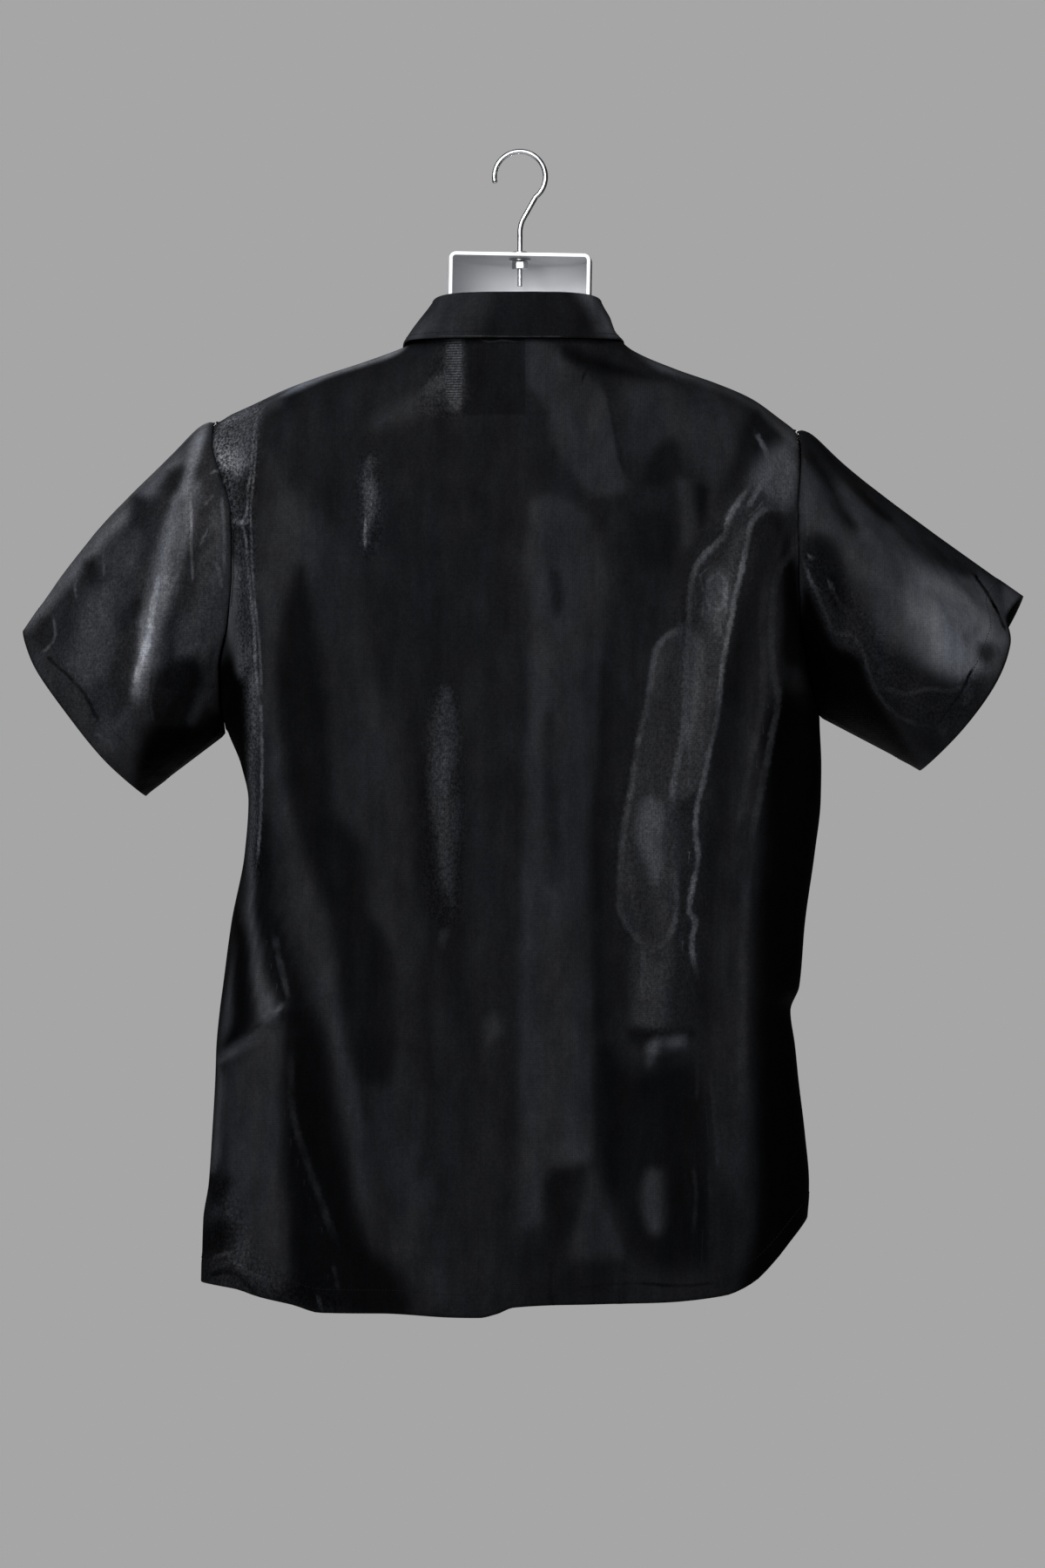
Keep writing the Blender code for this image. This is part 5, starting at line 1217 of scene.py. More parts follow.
def paintedLines(key, x, z, level):
    # For each set of painted highlight and shade lines, the signed distance to the nearest one, in its
    # half widths, and the change of painted level on it. Neighbours are in different sets, so that none
    # meets another's edge
    sets = []
    rows = paintRows(paintedLightLines, key)
    for first in range(lineSetting["sets"]):
        best, second = np.full(x.shape, 99.0), np.full(x.shape, 99.0)
        gaps, change = np.full(x.shape, 9.0), np.zeros(x.shape)
        for value, width, *places in rows[first::lineSetting["sets"]]:
            curve = smoothCurve(np.array(places) * mm, 8)
            here = around(x, z, curve, (width + lineSetting["search"]) * mm)
            gap, along, side = nearCurve(x[here], z[here], curve)
            past = gap / mm - width
            ends = smooth(*lineSetting["ends"], along) * smooth(*lineSetting["ends"], 1 - along)
            ends = ends * (1 - smooth(*lineSetting["fade"], past))
            closer = (gap < best[here]) & (past < lineSetting["reach"])
            second[here] = np.minimum(second[here], np.where(closer, best[here], gap))
            best[here] = np.where(closer, gap, best[here])
            turn = gap / (width * mm) * sideOf(side)
            gaps[here] = np.where(closer, turn, gaps[here])
            change[here] = np.where(closer, (value - level[here]) * ends, change[here])
        sets += [gaps, change / 255 * smooth(*lineSetting["apart"], second - best)]
    return sets


toneWander = {"across": (30, 2.4 * mm, 11.3), "up": (18, 5.0 * mm, 17.9)}


def paintedLightMarks(key, points, crumple):
    # Painted light level, glitter and crumple, then the painted lines' distance and change of level
    x = points[..., 0] + unevenness(points, *toneWander["across"])
    z = points[..., 2] + unevenness(points, *toneWander["up"])
    level = painted(clothAndLightLevels[key], paintRows(paintedLightPatches, key), x, z)
    sparkle = painted(evenGlitter, glitter.get(key, {}).values(), x, z)
    lines = paintedLines(key, points[..., 0], points[..., 2], level)
    crumple = np.broadcast_to(crumple, level.shape)
    return np.stack((level / 255, sparkle, crumple, *lines), axis=-1)


def unevenness(points, scale, amount, seed):
    places = points.reshape(-1, 3) * scale + seed
    values = [noise.noise(Vector(place)) for place in places]
    return amount * np.array(values).reshape(points.shape[:-1])


markLayers = ("marks", "linesA", "linesB")      # three values each


def gridMesh(name, points, closed=False, marks=None):
    # A mesh over a grid of points, rows by columns
    rows, columns = points.shape[:2]
    index = np.arange(rows * columns).reshape(rows, columns)
    if closed:
        index = np.hstack((index, index[:, :1]))
    quads = np.stack(
        (index[:-1, :-1], index[:-1, 1:], index[1:, 1:], index[1:, :-1]), axis=-1
    ).reshape(-1, 4)
    mesh = bpy.data.meshes.new(name)
    mesh.from_pydata(points.reshape(-1, 3).tolist(), [], quads.tolist())
    for i, layerName in enumerate(markLayers if marks is not None else ()):
        layer = mesh.attributes.new(layerName, "FLOAT_VECTOR", "POINT")
        values = marks[..., 3 * i:3 * i + 3]
        layer.data.foreach_set("vector", values.reshape(-1).astype(np.float32))
    mesh.shade_smooth()
    return mesh


def gridNormals(points, closed=False):
    wrapped = np.roll(points, -1, axis=1) - np.roll(points, 1, axis=1)
    across = wrapped if closed else np.gradient(points, axis=1)
    return unit(np.cross(across, np.gradient(points, axis=0)))


def pressed(points, amount, outward, closed=False):
    # Moves each point along the cloth's outward normal
    normals = gridNormals(points, closed)
    normals *= np.sign((normals * outward(points)).sum(axis=-1, keepdims=True))
    return points + normals * amount[..., None]


def edgeDistances(points):
    # Distance along the cloth from the bottom, top, first and last edges of the grid
    up = np.linalg.norm(np.diff(points, axis=0), axis=-1)
    across = np.linalg.norm(np.diff(points, axis=1), axis=-1)
    bottom = np.vstack((np.zeros((1, points.shape[1])), np.cumsum(up, axis=0)))
    first = np.hstack((np.zeros((points.shape[0], 1)), np.cumsum(across, axis=1)))
    return bottom, bottom[-1:] - bottom, first, first[:, -1:] - first


def ditch(distance, depth=cloth["ditchDepth"], width=cloth["ditchWidth"]):
    return -depth * np.exp(-((distance / width) ** 2))


def hemBand(distance, width=cloth["hemBand"]):
    # The turned-up hem is one more layer thick, and its stitching pulls it in
    edge = cloth["hemEdge"]
    band = cloth["hemLift"] * (1 - smooth(width - edge, width + edge, distance))
    return band + ditch(distance - width + cloth["stitchIn"], *cloth["stitchPull"])


def sheetPiece(name, points, material, outward, marks=None, closed=False,
               thickness=cloth["thickness"]):
    # The points are the outer face; the shell's other face lies inside it
    normals = gridNormals(points, closed)
    if (normals * outward(points)).sum() < 0:
        points = points[:, ::-1]
        marks = None if marks is None else marks[:, ::-1]
    piece = addObject(name, gridMesh(name, points, closed, marks), material)
    shell = piece.modifiers.new("Shell", "SOLIDIFY")
    shell.thickness = thickness
    shell.offset = -1
    return piece


def place(piece, slotName, *nodes):
    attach(piece, "root")
    if nodes:
        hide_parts(*nodes)
    return piece


stitch = {
    "pitch": 2.7 * mm,
    "length": 1.9 * mm,
    "width": 0.42 * mm,
    "rise": 0.12 * mm,
    "body": 0.3,                # share of its length where a stitch is widest, on each side
    "look": {"color": (0.004, 0.004, 0.0045), "roughness": 0.8, "specular": 0.1,
             "grain": (0.05 * mm, 2600, 2)},
}


def lineAt(points, distance, value, closed=False):
    # The line on the cloth that lies at a distance from its first row, and its normals
    row = np.maximum(np.argmax(distance >= value, axis=0), 1)
    column = np.arange(points.shape[1])
    low, high = distance[row - 1, column], distance[row, column]
    share = np.clip((value - low) / np.maximum(high - low, 1e-9), 0, 1)[:, None]
    normals = gridNormals(points, closed)
    line = lerp(points[row - 1, column], points[row, column], share)
    return line, unit(lerp(normals[row - 1, column], normals[row, column], share))


def sew(name, lines, outward):
    # Rows of single stitches along lines on the cloth, as one mesh
    sides = ((1, 0), (0, 1), (-1, 0), (0, -1))
    rings = [(end, *side) for end in (-stitch["body"], stitch["body"]) for side in sides]
    shape = np.array([(-0.5, 0, 0), *rings, (0.5, 0, 0)])
    faces = []
    for i in range(4):
        after = (i + 1) % 4
        faces += [(0, 1 + after, 1 + i), (1 + i, 1 + after, 5 + after, 5 + i), (5 + i, 5 + after, 9)]
    size = np.array((stitch["length"], stitch["width"] / 2, stitch["width"] / 2))
    stitches = []
    for line in lines:
        gone = travelled(line[0])
        places = np.arange(stitch["pitch"], gone[-1] - stitch["pitch"] / 2, stitch["pitch"])
        middles, up = (
            np.stack([np.interp(places, gone, column) for column in rows.T], axis=-1)
            for rows in line
        )
        up = unit(up)
        up = up * np.sign((up * outward(middles)).sum(axis=-1, keepdims=True))
        along = unit(np.gradient(middles, axis=0))
        axes = np.stack((along, np.cross(along, up), up), axis=1) * size[:, None]
        stitches.append((middles + up * stitch["rise"])[:, None] + shape @ axes)
    corners = np.concatenate(stitches).reshape(-1, 3)
    starts = range(0, len(corners), len(shape))
    polygons = [tuple(start + i for i in face) for start in starts for face in faces]
    mesh = bpy.data.meshes.new(name)
    mesh.from_pydata(corners.tolist(), [], polygons)
    mesh.shade_smooth()
    thread = bpy.data.materials.get("sewingThread") or finish("sewingThread", **stitch["look"])
    place(addObject(name, mesh, thread), "satin")


def fromAxis(points):
    return points - stacked(0, body["sideSeamY"], points[..., 2] - 0.05)


grid = {"hemRows": 150, "armholeRows": 96, "neckColumns": 24, "shoulderColumns": 54, "lapColumns": 10}


def bodyLevels():
    lower = np.arange(grid["hemRows"]) / grid["hemRows"]
    upper = 1 + np.sin(np.arange(grid["armholeRows"] + 1) / grid["armholeRows"] * math.pi / 2)
    return np.concatenate((lower, upper))


def halfShares(edge, neck):
    # Shares from an inner edge, through the neck point, to the side seam
    inner = lerp(edge, neck, np.arange(grid["neckColumns"])[:, None] / grid["neckColumns"])
    outer = lerp(neck, 1, np.arange(grid["shoulderColumns"] + 1)[:, None] / grid["shoulderColumns"])
    return np.vstack((inner * np.ones_like(edge), outer * np.ones_like(edge))).T


def easedBelowNeck(face, points, shares, levels):
    # The panel rounds over below the neck point, where the neckline turns into the shoulder
    ease = body["neckEase"]
    nearNeck = 1 - smooth(*ease["near"], np.abs(np.abs(shares) - body["neckShare"][face]))
    weight = nearNeck * smooth(0, ease["below"], 2 - levels)[:, None] * ease["pull"]
    weight = weight[:, 1:-1, None]
    for _ in range(ease["rounds"]):
        middle = (points[:, 2:] + points[:, :-2]) / 2
        points[:, 1:-1] += weight * (middle - points[:, 1:-1])
    return points


def bumps(points, rows, share=1.0):
    # Low bumps of the cloth, each with its scale, height and seed
    return share * sum(unevenness(points, scale, height, seed) for scale, height, seed in rows)


def foldedBody(face, shares, levels):
    points = easedBelowNeck(face, bodyPoint(face, shares, levels[:, None]), shares, levels)
    x, z = points[..., 0], points[..., 2]
    fade = smooth(0, body["edgeFade"], 1 - np.abs(shares))
    fade = fade * np.where(levels > 1, smooth(0, body["seamFade"], 2 - levels), 1.0)[:, None]
    fineFade = smooth(0, body["fineFade"], 1 - np.abs(shares))
    if face == "front":
        clear = smooth(lap["ramp"][1], lap["fadeEnd"], np.abs(x))
        fade, fineFade = fade * clear, fineFade * clear
    rise = clothRise(face, x, z, fade, fineFade) + bumps(points, body["bumps"], fineFade)
    points[..., 1] += sign[face] * rise
    return points


def bodyMarks(face, points):
    low, change = body["crumple"]
    patches = np.clip(unevenness(points, *body["crumplePatches"]), 0, 1)
    return paintedLightMarks(face, points, low + change * patches)


labelView = {
    "labelX": (-4.1 * mm, 44.9 * mm),
    "labelZ": (-208 * mm, -140 * mm),
    "labelEdge": (0.5 * mm, 1.5 * mm),
    "darker": -0.14,
    "threadsX": (45 * mm, 57 * mm),
    "threadsZ": (-196 * mm, -146 * mm),
    "threadsEdge": (0.5 * mm, 4 * mm),
    "beat": 2.0 * mm,
    "beatLight": 0.25,
}


def backBands(nodes, level):
    # The neck label shows through the sheer cloth as a darker oblong
    x, _, z = nodes.split(nodes.position())

    def oblong(name):
        across = nodes.band(x, *labelView[name + "X"], labelView[name + "Edge"][0])
        up = nodes.band(z, *labelView[name + "Z"], labelView[name + "Edge"][1])
        return nodes.math("MULTIPLY", across, up)

    shaded = nodes.math("MULTIPLY_ADD", oblong("label"), labelView["darker"], 1.0)
    # Weft threads of the two layers beside it beat against each other
    beat = nodes.math("SINE", nodes.math("MULTIPLY", z, math.tau / labelView["beat"]))
    beside = nodes.math("MULTIPLY", beat, oblong("threads"))
    threads = nodes.math("MULTIPLY_ADD", beside, labelView["beatLight"], 1.0)
    return nodes.math("MULTIPLY", nodes.math("MULTIPLY", level, shaded), threads)


def lapLift(x):
    return lap["step"] * (1 - smooth(*lap["ramp"], x))


panels = {
    "backPanel": {"node": "back_panel", "face": "back", "flat": (0.60, 0.80), "area": 0.44},
    "frontLeft": {"node": "front_left", "face": "front", "flat": (0.36, 0.76), "area": 0.24},
    "frontRight": {"node": "front_right", "face": "front", "flat": (0.36, 0.76), "area": 0.24},
}


def panelShares(name, levels):
    neck = body["neckShare"][panels[name]["face"]]
    if name == "backPanel":
        half = halfShares(np.zeros(1), np.full(1, neck))
        return np.concatenate((-half[:, :0:-1], half), axis=1) * np.ones((len(levels), 1))
    laps = shareAt("front", lap["width"], levels)
    across = np.arange(grid["lapColumns"])[None, :] / grid["lapColumns"]
    inner = lerp(-laps[:, None], laps[:, None], across)
    outer = halfShares(laps, np.full(len(levels), neck))
    return (1 if name == "frontLeft" else -1) * np.concatenate((inner, outer), axis=1)


def makePanel(name, title, extra=None):
    panel, levels = panels[name], bodyLevels()
    points = foldedBody(panel["face"], panelShares(name, levels), levels)
    if name == "frontLeft":
        points[..., 1] -= lapLift(points[..., 0])
    marks = bodyMarks(panel["face"], points)
    bottom, top, first, last = edgeDistances(points)
    inset = ditch(last) + ditch(top, cloth["seamDepth"]) + hemBand(bottom)
    if panel["face"] == "back":
        inset = inset + ditch(first)
    points = pressed(points, inset, fromAxis)
    piece = sheetPiece(name, points, clothMaterial(title + "Cloth", extra), fromAxis, marks)
    place(piece, "satin", panel["node"])
    sew(title + "Stitches", [lineAt(points, bottom, cloth["hemBand"] - cloth["stitchIn"])], fromAxis)
    return piece


placket = {
    "lift": 1.8 * mm,
    "columns": 13,
    "thickness": 1.0 * mm,
    "stitchIn": 3 * mm,
    "edgeRound": (0.5 * mm, 1.0 * mm),
    "stitchPull": (0.3 * mm, 1.0 * mm),
    "bumps": ((40, 0.4 * mm, 2.2),),
}


def makePlacket():
    levels = bodyLevels()
    x = np.linspace(-lap["width"], lap["width"], placket["columns"])[None, :]
    points = bodyPoint("front", shareAt("front", x, levels[:, None]), levels[:, None])
    points[..., 1] -= lapLift(points[..., 0]) + placket["lift"]
    first, last = edgeDistances(points)[2:]
    inset = bumps(points, placket["bumps"])
    for edge in (first, last):
        inset = inset + ditch(edge, *placket["edgeRound"])
        inset = inset + ditch(edge - placket["stitchIn"], *placket["stitchPull"])
    points[..., 1] -= inset
    piece = sheetPiece("placketStrip", points, clothMaterial("placketCloth"), fromAxis,
                       bodyMarks("front", points), thickness=placket["thickness"])
    place(piece, "satin", "placket")
    turned = points.transpose(1, 0, 2)
    sew("placketStitches", [lineAt(turned, first.T, placket["stitchIn"]),
                            lineAt(turned[::-1], last.T[::-1], placket["stitchIn"])], fromAxis)


# The opening's edge, a turn from its top down the back and up the front, in millimetres
sleeveHems = {
    "sleeve_left": (
        (0.00, 391.0, -20, -373.5),
        (0.12, 380.0, 12, -402.0),
        (0.25, 354.0, 28, -438.5),
        (0.38, 324.0, 22, -476.0),
        (0.50, 295.0, -15, -503.0),
        (0.62, 310.0, -50, -484.0),
        (0.75, 343.0, -62, -441.0),
        (0.88, 375.0, -50, -398.0),
    ),
    "sleeve_right": (
        (0.00, -398.0, -38, -346.0),
        (0.07, -383.0, -10, -362.0),
        (0.14, -383.5, 14, -385.0),
        (0.25, -370.0, 32, -417.0),
        (0.38, -344.0, 27, -453.0),
        (0.50, -315.0, -10, -483.0),
        (0.62, -328.0, -50, -462.0),
        (0.75, -356.0, -68, -418.0),
        (0.88, -386.0, -62, -374.0),
    ),
}
sleeveCut = {
    "side": {"sleeve_left": 1, "sleeve_right": -1},
    "columns": 132,
    "rows": 76,
    "gap": 0.5 * mm,
    "topCrown": {"sleeve_left": 10.6 * mm, "sleeve_right": -1.6 * mm},
    "sideCrown": 7 * mm,
    "headLift": 4.5 * mm,
    "headShare": 0.06,
    "hemBand": 24 * mm,
    "crumple": {"sleeve_left": 1.0, "sleeve_right": 0.35},
    "bumps": ((34, 2.4 * mm, 4.4), (80, 1.1 * mm, 8.8)),
    # Share of the length over which each fades, and how it fades towards the tube's edges
    "foldFade": (0.2, 0.7),
    "creaseFade": (0.05, 0.5),
    "bumpFade": (0.08, 0.12, 0.6),
}


def closedCurve(rows, turn):
    rows = np.array(rows, float)
    knots, points = np.append(rows[:, 0], 1.0), rows[:, 1:] * mm
    low = np.searchsorted(knots, turn, side="right") - 1
    share = ((turn - knots[low]) / (knots[low + 1] - knots[low]))[:, None]
    before, start, end, after = (points[(low + i) % len(points)] for i in (-1, 0, 1, 2))
    return hermite(start, end, (end - before) / 2, (after - start) / 2, share)


def armholeRing(side, turns):
    # The armhole's edge, down the back panel's and up the front panels'
    count = len(turns)
    rises = np.abs(np.cos(np.pi * turns))
    back, front = (upperPoint(face, np.full(count, float(side)), rises) for face in sign)
    ring = np.where((turns <= 0.5)[:, None], back, front)
    for end in (0, count // 2):
        ring[end] = (back[end] + front[end]) / 2
    return ring + np.array((side * sleeveCut["gap"], 0, sleeveCut["gap"] / 3))


def sleeveForm(name, side, turns, angle, share):
    ring, hem = armholeRing(side, turns), closedCurve(sleeveHems[name], turns)
    half = len(turns) // 2
    along = unit(hem[0] + hem[half] - ring[0] - ring[half])
    upward = np.array((-along[2], 0, along[0])) * side
    middle = np.sin(np.pi * share)
    head = share / sleeveCut["headShare"]
    crown = sleeveCut["topCrown"][name] * middle + sleeveCut["headLift"] * head * np.exp(1 - head)
    crown = crown * np.maximum(0, np.cos(angle)) ** 2
    points = lerp(ring[None], hem[None], share[..., None]) + upward * crown[..., None]
    points[..., 1] += sleeveCut["sideCrown"] * middle * np.sin(angle)
    return points


def makeSleeve(name, title):
    side, crumple = sleeveCut["side"][name], sleeveCut["crumple"][name]
    turns = np.arange(sleeveCut["columns"]) / sleeveCut["columns"]
    share = (np.arange(sleeveCut["rows"] + 1) / sleeveCut["rows"])[:, None]
    angle = 2 * np.pi * turns[None, :]
    sine = np.sin(angle)
    points = sleeveForm(name, side, turns, angle, share)
    fade, fineFade = (smooth(0, reach, share) * np.abs(sine) ** power
                      for reach, power in (sleeveCut["foldFade"], sleeveCut["creaseFade"]))
    marks = np.zeros((*points.shape[:2], 3 * len(markLayers)))
    x, z = points[..., 0].copy(), points[..., 2].copy()
    for face, here in (("back", sine >= 0), ("front", sine < 0)):
        key = f"{name} {face}"
        rise = clothRise(key, x, z, fade, fineFade)
        points[..., 1] += np.where(here, sign[face] * rise, 0.0)
        marks = np.where(here[..., None], paintedLightMarks(key, points, crumple), marks)
    centre = points.mean(axis=1, keepdims=True)
    low, high, power = sleeveCut["bumpFade"]
    fade = smooth(0, low, share) * smooth(0, high, 1 - share) * np.abs(sine) ** power
    bottom, top, _, _ = edgeDistances(points)
    inset = bumps(points, sleeveCut["bumps"], fade * crumple) + ditch(bottom)
    inset = inset + hemBand(top, sleeveCut["hemBand"])
    points = pressed(points, inset, lambda grid: grid - centre, closed=True)
    piece = sheetPiece(title, points, clothMaterial(title + "Cloth"),
                       lambda grid: grid - centre, marks, closed=True)
    place(piece, "satin", name)
    seam = lineAt(points[::-1], top[::-1], sleeveCut["hemBand"] - cloth["stitchIn"], True)
    seam = [np.vstack((rows, rows[:1])) for rows in seam]
    sew(title + "Stitches", [seam], lambda grid: grid - points.mean(axis=(0, 1)))


collar = {
    "standTopHalfWidth": (0.0662, 0.0616),
    "standTopDepth": {"back": 0.057, "front": 0.084},
    "standTopZ": {"back": -0.1164, "side": -0.1204, "front": -0.1730},
    "standTopSquareness": {"back": 4.0, "front": 2.3},
    "standGap": 0.4 * mm,
    "standLapTurns": (155, 168),
    "leafShift": 5.2 * mm,
    "standEndShare": 0.5,
    "leafEndShare": 0.62,
    "leafCrown": 1.5 * mm,
    "clothLayer": 1.5 * mm,
    "foldGap": 1.0 * mm,
    "leafGap": 0.7 * mm,
    "clearance": 2.2 * mm,
    "searchReach": 8 * mm,
    "straightOver": 0.6,        # how squarely a point must lie over the cloth under it
    "easeRounds": 22,
    "rise": 8 * mm,             # the fold, kept free of stitches and bumps
    "thickness": 1.2 * mm,
    "standSeam": (0.3 * mm, 1.5 * mm),
    "stitchIn": 5 * mm,
    "stitchPull": (0.25 * mm, 0.8 * mm),
    "edgeRound": (0.5 * mm, 0.9 * mm),
    "bumps": ((45, 0.35 * mm, 6.1),),
    "bumpFade": 6 * mm,
    "crumple": 0.1,
    "columns": 200,
    "leafRows": 26,
    "standRows": 12,
}
leafEdge = Table(
    ("turn", "out", "y", "z"),
    (
        (0, 0.0000, 0.0605, -0.1488),
        (30, 0.0330, 0.0598, -0.1488),
        (55, 0.0640, 0.0535, -0.1484),
        (75, 0.0812, 0.0325, -0.1480),
        (92, 0.0868, -0.0020, -0.1485),
        (110, 0.0880, -0.0420, -0.1560),
        (130, 0.0860, -0.0760, -0.1760),
        (150, 0.0740, -0.1010, -0.2040),
        (168, 0.0580, -0.1150, -0.2280),
        (180, 0.0460, -0.1200, -0.2420),
    ),
)


def lapTurns():
    # How far past the front's middle the stand reaches, in degrees
    share = shareAt("front", lap["width"], 2.0)
    return float(90 * share / body["neckShare"]["front"])


def aroundNeck(curveFor, turns):
    # Joins the back half's and the front half's curve at the neck points
    size = np.abs(turns)
    front = curveFor("front", sideOf(turns) * (180 - size) / 90)
    return np.where((size > 90)[..., None], front, curveFor("back", turns / 90))


def standTopFor(face, share):
    across, depth = bow(np.abs(share), collar["standTopSquareness"][face])
    x = sideOf(share) * sided(*collar["standTopHalfWidth"], share) * across
    y = body["neckPointY"] + sign[face] * collar["standTopDepth"][face] * depth
    z = lerp(collar["standTopZ"]["side"], collar["standTopZ"][face], depth ** neckline["drop"])
    return stacked(x, y, z)


def standTop(turns):
    return aroundNeck(standTopFor, turns)


def neckOutward(turns):
    run = standTop(turns + 0.5) - standTop(turns - 0.5)
    return unit(stacked(-run[..., 1], run[..., 0], 0))


def standLift(turns):
    return lap["step"] * smooth(*collar["standLapTurns"], turns)


def fromNeck(points):
    return points - stacked(0, body["neckPointY"], points[..., 2])


def makeStand():
    reach = 180 + collar["standEndShare"] * lapTurns()
    turns = np.linspace(-reach, reach, collar["columns"])
    base = aroundNeck(necklinePoint, turns) + np.array((0, 0, collar["standGap"]))
    lift = neckOutward(turns) * standLift(turns)[..., None]
    share = (np.arange(collar["standRows"] + 1) / collar["standRows"])[:, None, None]
    points = lerp(base[None], standTop(turns)[None], share) + lift[None]
    seam = ditch(edgeDistances(points)[0], *collar["standSeam"])
    points = pressed(points, seam, fromNeck)
    piece = sheetPiece("collarStand", points, clothMaterial("standCloth"), fromNeck,
                       paintedLightMarks("stand", points, collar["crumple"]), thickness=collar["thickness"])
    place(piece, "satin", "collar_stand")


def leafProfile(steps=14):
    layer = collar["clothLayer"]
    radius = (2 * layer + collar["foldGap"]) / 2
    centre = radius - layer
    angles = np.radians(np.linspace(180, 0, steps))
    arc = [(centre + radius * math.cos(a), radius + radius * math.sin(a)) for a in angles]
    return [(-layer, collar["leafGap"]), *arc]


def pushedClear(points, targets, clearance):
    # Moves the points out of the cloth under them, by an amount that changes smoothly
    move = np.zeros(points.shape)
    for target in targets:
        corners = [vertex.co for vertex in target.data.vertices]
        tree = BVHTree.FromPolygons(corners, [face.vertices for face in target.data.polygons])
        for spot in np.ndindex(points.shape[:2]):
            point = Vector(points[spot])
            nearest, normal, _, gap = tree.find_nearest(point, collar["searchReach"])
            if nearest is None:
                continue
            height = (point - nearest).dot(normal)
            short = clearance - height
            straight = abs(height) > collar["straightOver"] * gap
            if straight and short > np.linalg.norm(move[spot]):
                move[spot] = normal * short
    for step in range(collar["easeRounds"]):
        ring = np.pad(move, ((1, 1), (1, 1), (0, 0)), mode="edge")
        eased = (ring[:-2, 1:-1] + ring[2:, 1:-1] + ring[1:-1, :-2] + ring[1:-1, 2:]) / 4
        longer = np.linalg.norm(eased, axis=-1) > np.linalg.norm(move, axis=-1)
        move = np.where(longer[..., None] | (step >= collar["easeRounds"] // 2 + 1), eased, move)
    return points + move


def makeLeaf(under):
    reach = 180 - collar["leafEndShare"] * lapTurns()
    turns = np.linspace(-reach, reach, collar["columns"])
    outward = neckOutward(turns)
    crest = standTop(turns) + outward * standLift(turns)[..., None]
    rows = [crest + outward * out + np.array((0, 0, up)) for out, up in leafProfile()]
    out, y, z = (leafEdge.at(np.abs(turns), column) for column in ("out", "y", "z"))
    edge = stacked(sideOf(turns) * out + collar["leafShift"], y, z)
    shares = np.arange(1, collar["leafRows"] + 1)[:, None, None] / collar["leafRows"]
    bulge = collar["leafCrown"] * np.sin(np.pi * shares)
    fall = pushedClear(lerp(rows[-1], edge, shares) + outward * bulge, under, collar["clearance"])
    points = np.concatenate((np.array(rows), fall))
    bottom, top, first, last = edgeDistances(points)
    inset = ditch(top - collar["stitchIn"], *collar["stitchPull"])
    for side in (top, first, last):
        inset = inset + ditch(side, *collar["edgeRound"])
    inset = inset + bumps(points, collar["bumps"], smooth(0, collar["bumpFade"], top))
    points = pressed(points, inset * smooth(0, collar["rise"], bottom), fromNeck)
    marks = paintedLightMarks("collar", points, collar["crumple"])
    # The collar's painted highlight line along its lower edge shows behind only
    marks[..., 4] *= points[..., 1] > 0          # the light edge shows behind only
    piece = sheetPiece("collarLeaf", points, clothMaterial("leafCloth"), fromNeck, marks,
                       thickness=collar["thickness"])
    place(piece, "satin", "collar_leaf")
    sew("collarStitches", [lineAt(points[::-1], top[::-1], collar["stitchIn"])], fromNeck)


label = {
    "inset": 2.0 * mm,
    "thickness": 0.4 * mm,
    "cells": 16,
    "rayStart": 0.2,
    "look": {"color": (0.006, 0.006, 0.007), "roughness": 0.8, "specular": 0.2,
             "grain": (0.1 * mm, 900, 2, (1, 1, 0.2))},
}


def makeLabel(back):
    low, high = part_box("neck_label")
    tree = BVHTree.FromObject(back, bpy.context.evaluated_depsgraph_get())
    count = label["cells"] + 1
    points = np.zeros((count, count, 3))
    for row, column in np.ndindex(count, count):
        x = lerp(low.x, high.x, column / label["cells"])
        z = lerp(low.z, high.z, row / label["cells"])
        spot, normal, _, _ = tree.ray_cast(Vector((x, label["rayStart"], z)), Vector((0, -1, 0)))
        points[row, column] = spot - normal * label["inset"]
    points[..., 1] = np.minimum(points[..., 1], high.y)
    piece = sheetPiece("neckLabel", points, finish("labelWeave", **label["look"]), fromAxis,
                       thickness=label["thickness"])
    place(piece, "label", "neck_label")


button = {
    "radius": 5.7 * mm,
    "height": 2.4 * mm,
    "base": 0.86,               # radius of the flat underside against the button's
    "rim": (1.2 * mm, 1.92 * mm),
    "rimDrop": 0.1 * mm,
    "edgeRound": (0.6 * mm, 0.75 * mm),
    "edgeTurns": (-0.35, 0.5, 9),
    "dish": 0.65,               # height of the dished middle against the rim's
    "strands": (-0.35 * mm, 0, 0.35 * mm),
    "threadSize": (2.99 * mm, 0.4 * mm, 0.5 * mm),
    "sides": 48,
    "look": {"color": (0.012, 0.012, 0.013), "roughness": 0.22, "wear": (500, 2, 0.2, 0.15)},
    "threadLook": {"color": (0.01, 0.01, 0.011), "roughness": 0.7},
}


def buttonMesh():
    # A turned profile with a domed edge, a raised rim and a dished middle
    radius, height = button["radius"], button["height"]
    out, up = button["edgeRound"]
    rim, floor = button["rim"], height * button["dish"]
    profile = [(0, 0), (radius * button["base"], 0)]
    for angle in np.linspace(*button["edgeTurns"]) * math.pi:
        profile.append((radius - out + out * math.cos(angle), height - up + up * math.sin(angle)))
    profile += [(radius - rim[0], height - button["rimDrop"]), (radius - rim[1], floor), (0, floor)]
    return turnedMesh("button", profile, button["sides"])


def threadMesh():
    # Two crossed loops of thread through the button's holes
    shape = bmesh.new()
    lift = button["height"] * button["dish"] + button["threadSize"][2] / 2
    flat = Matrix.Diagonal((*button["threadSize"], 1))
    for angle in (math.pi / 4, -math.pi / 4):
        for strand in button["strands"]:
            spot = Matrix.Rotation(angle, 4, "Z") @ Matrix.Translation((0, strand, lift))
            bmesh.ops.create_icosphere(shape, subdivisions=2, radius=0.5, matrix=spot @ flat)
    return meshFrom("buttonThread", shape)


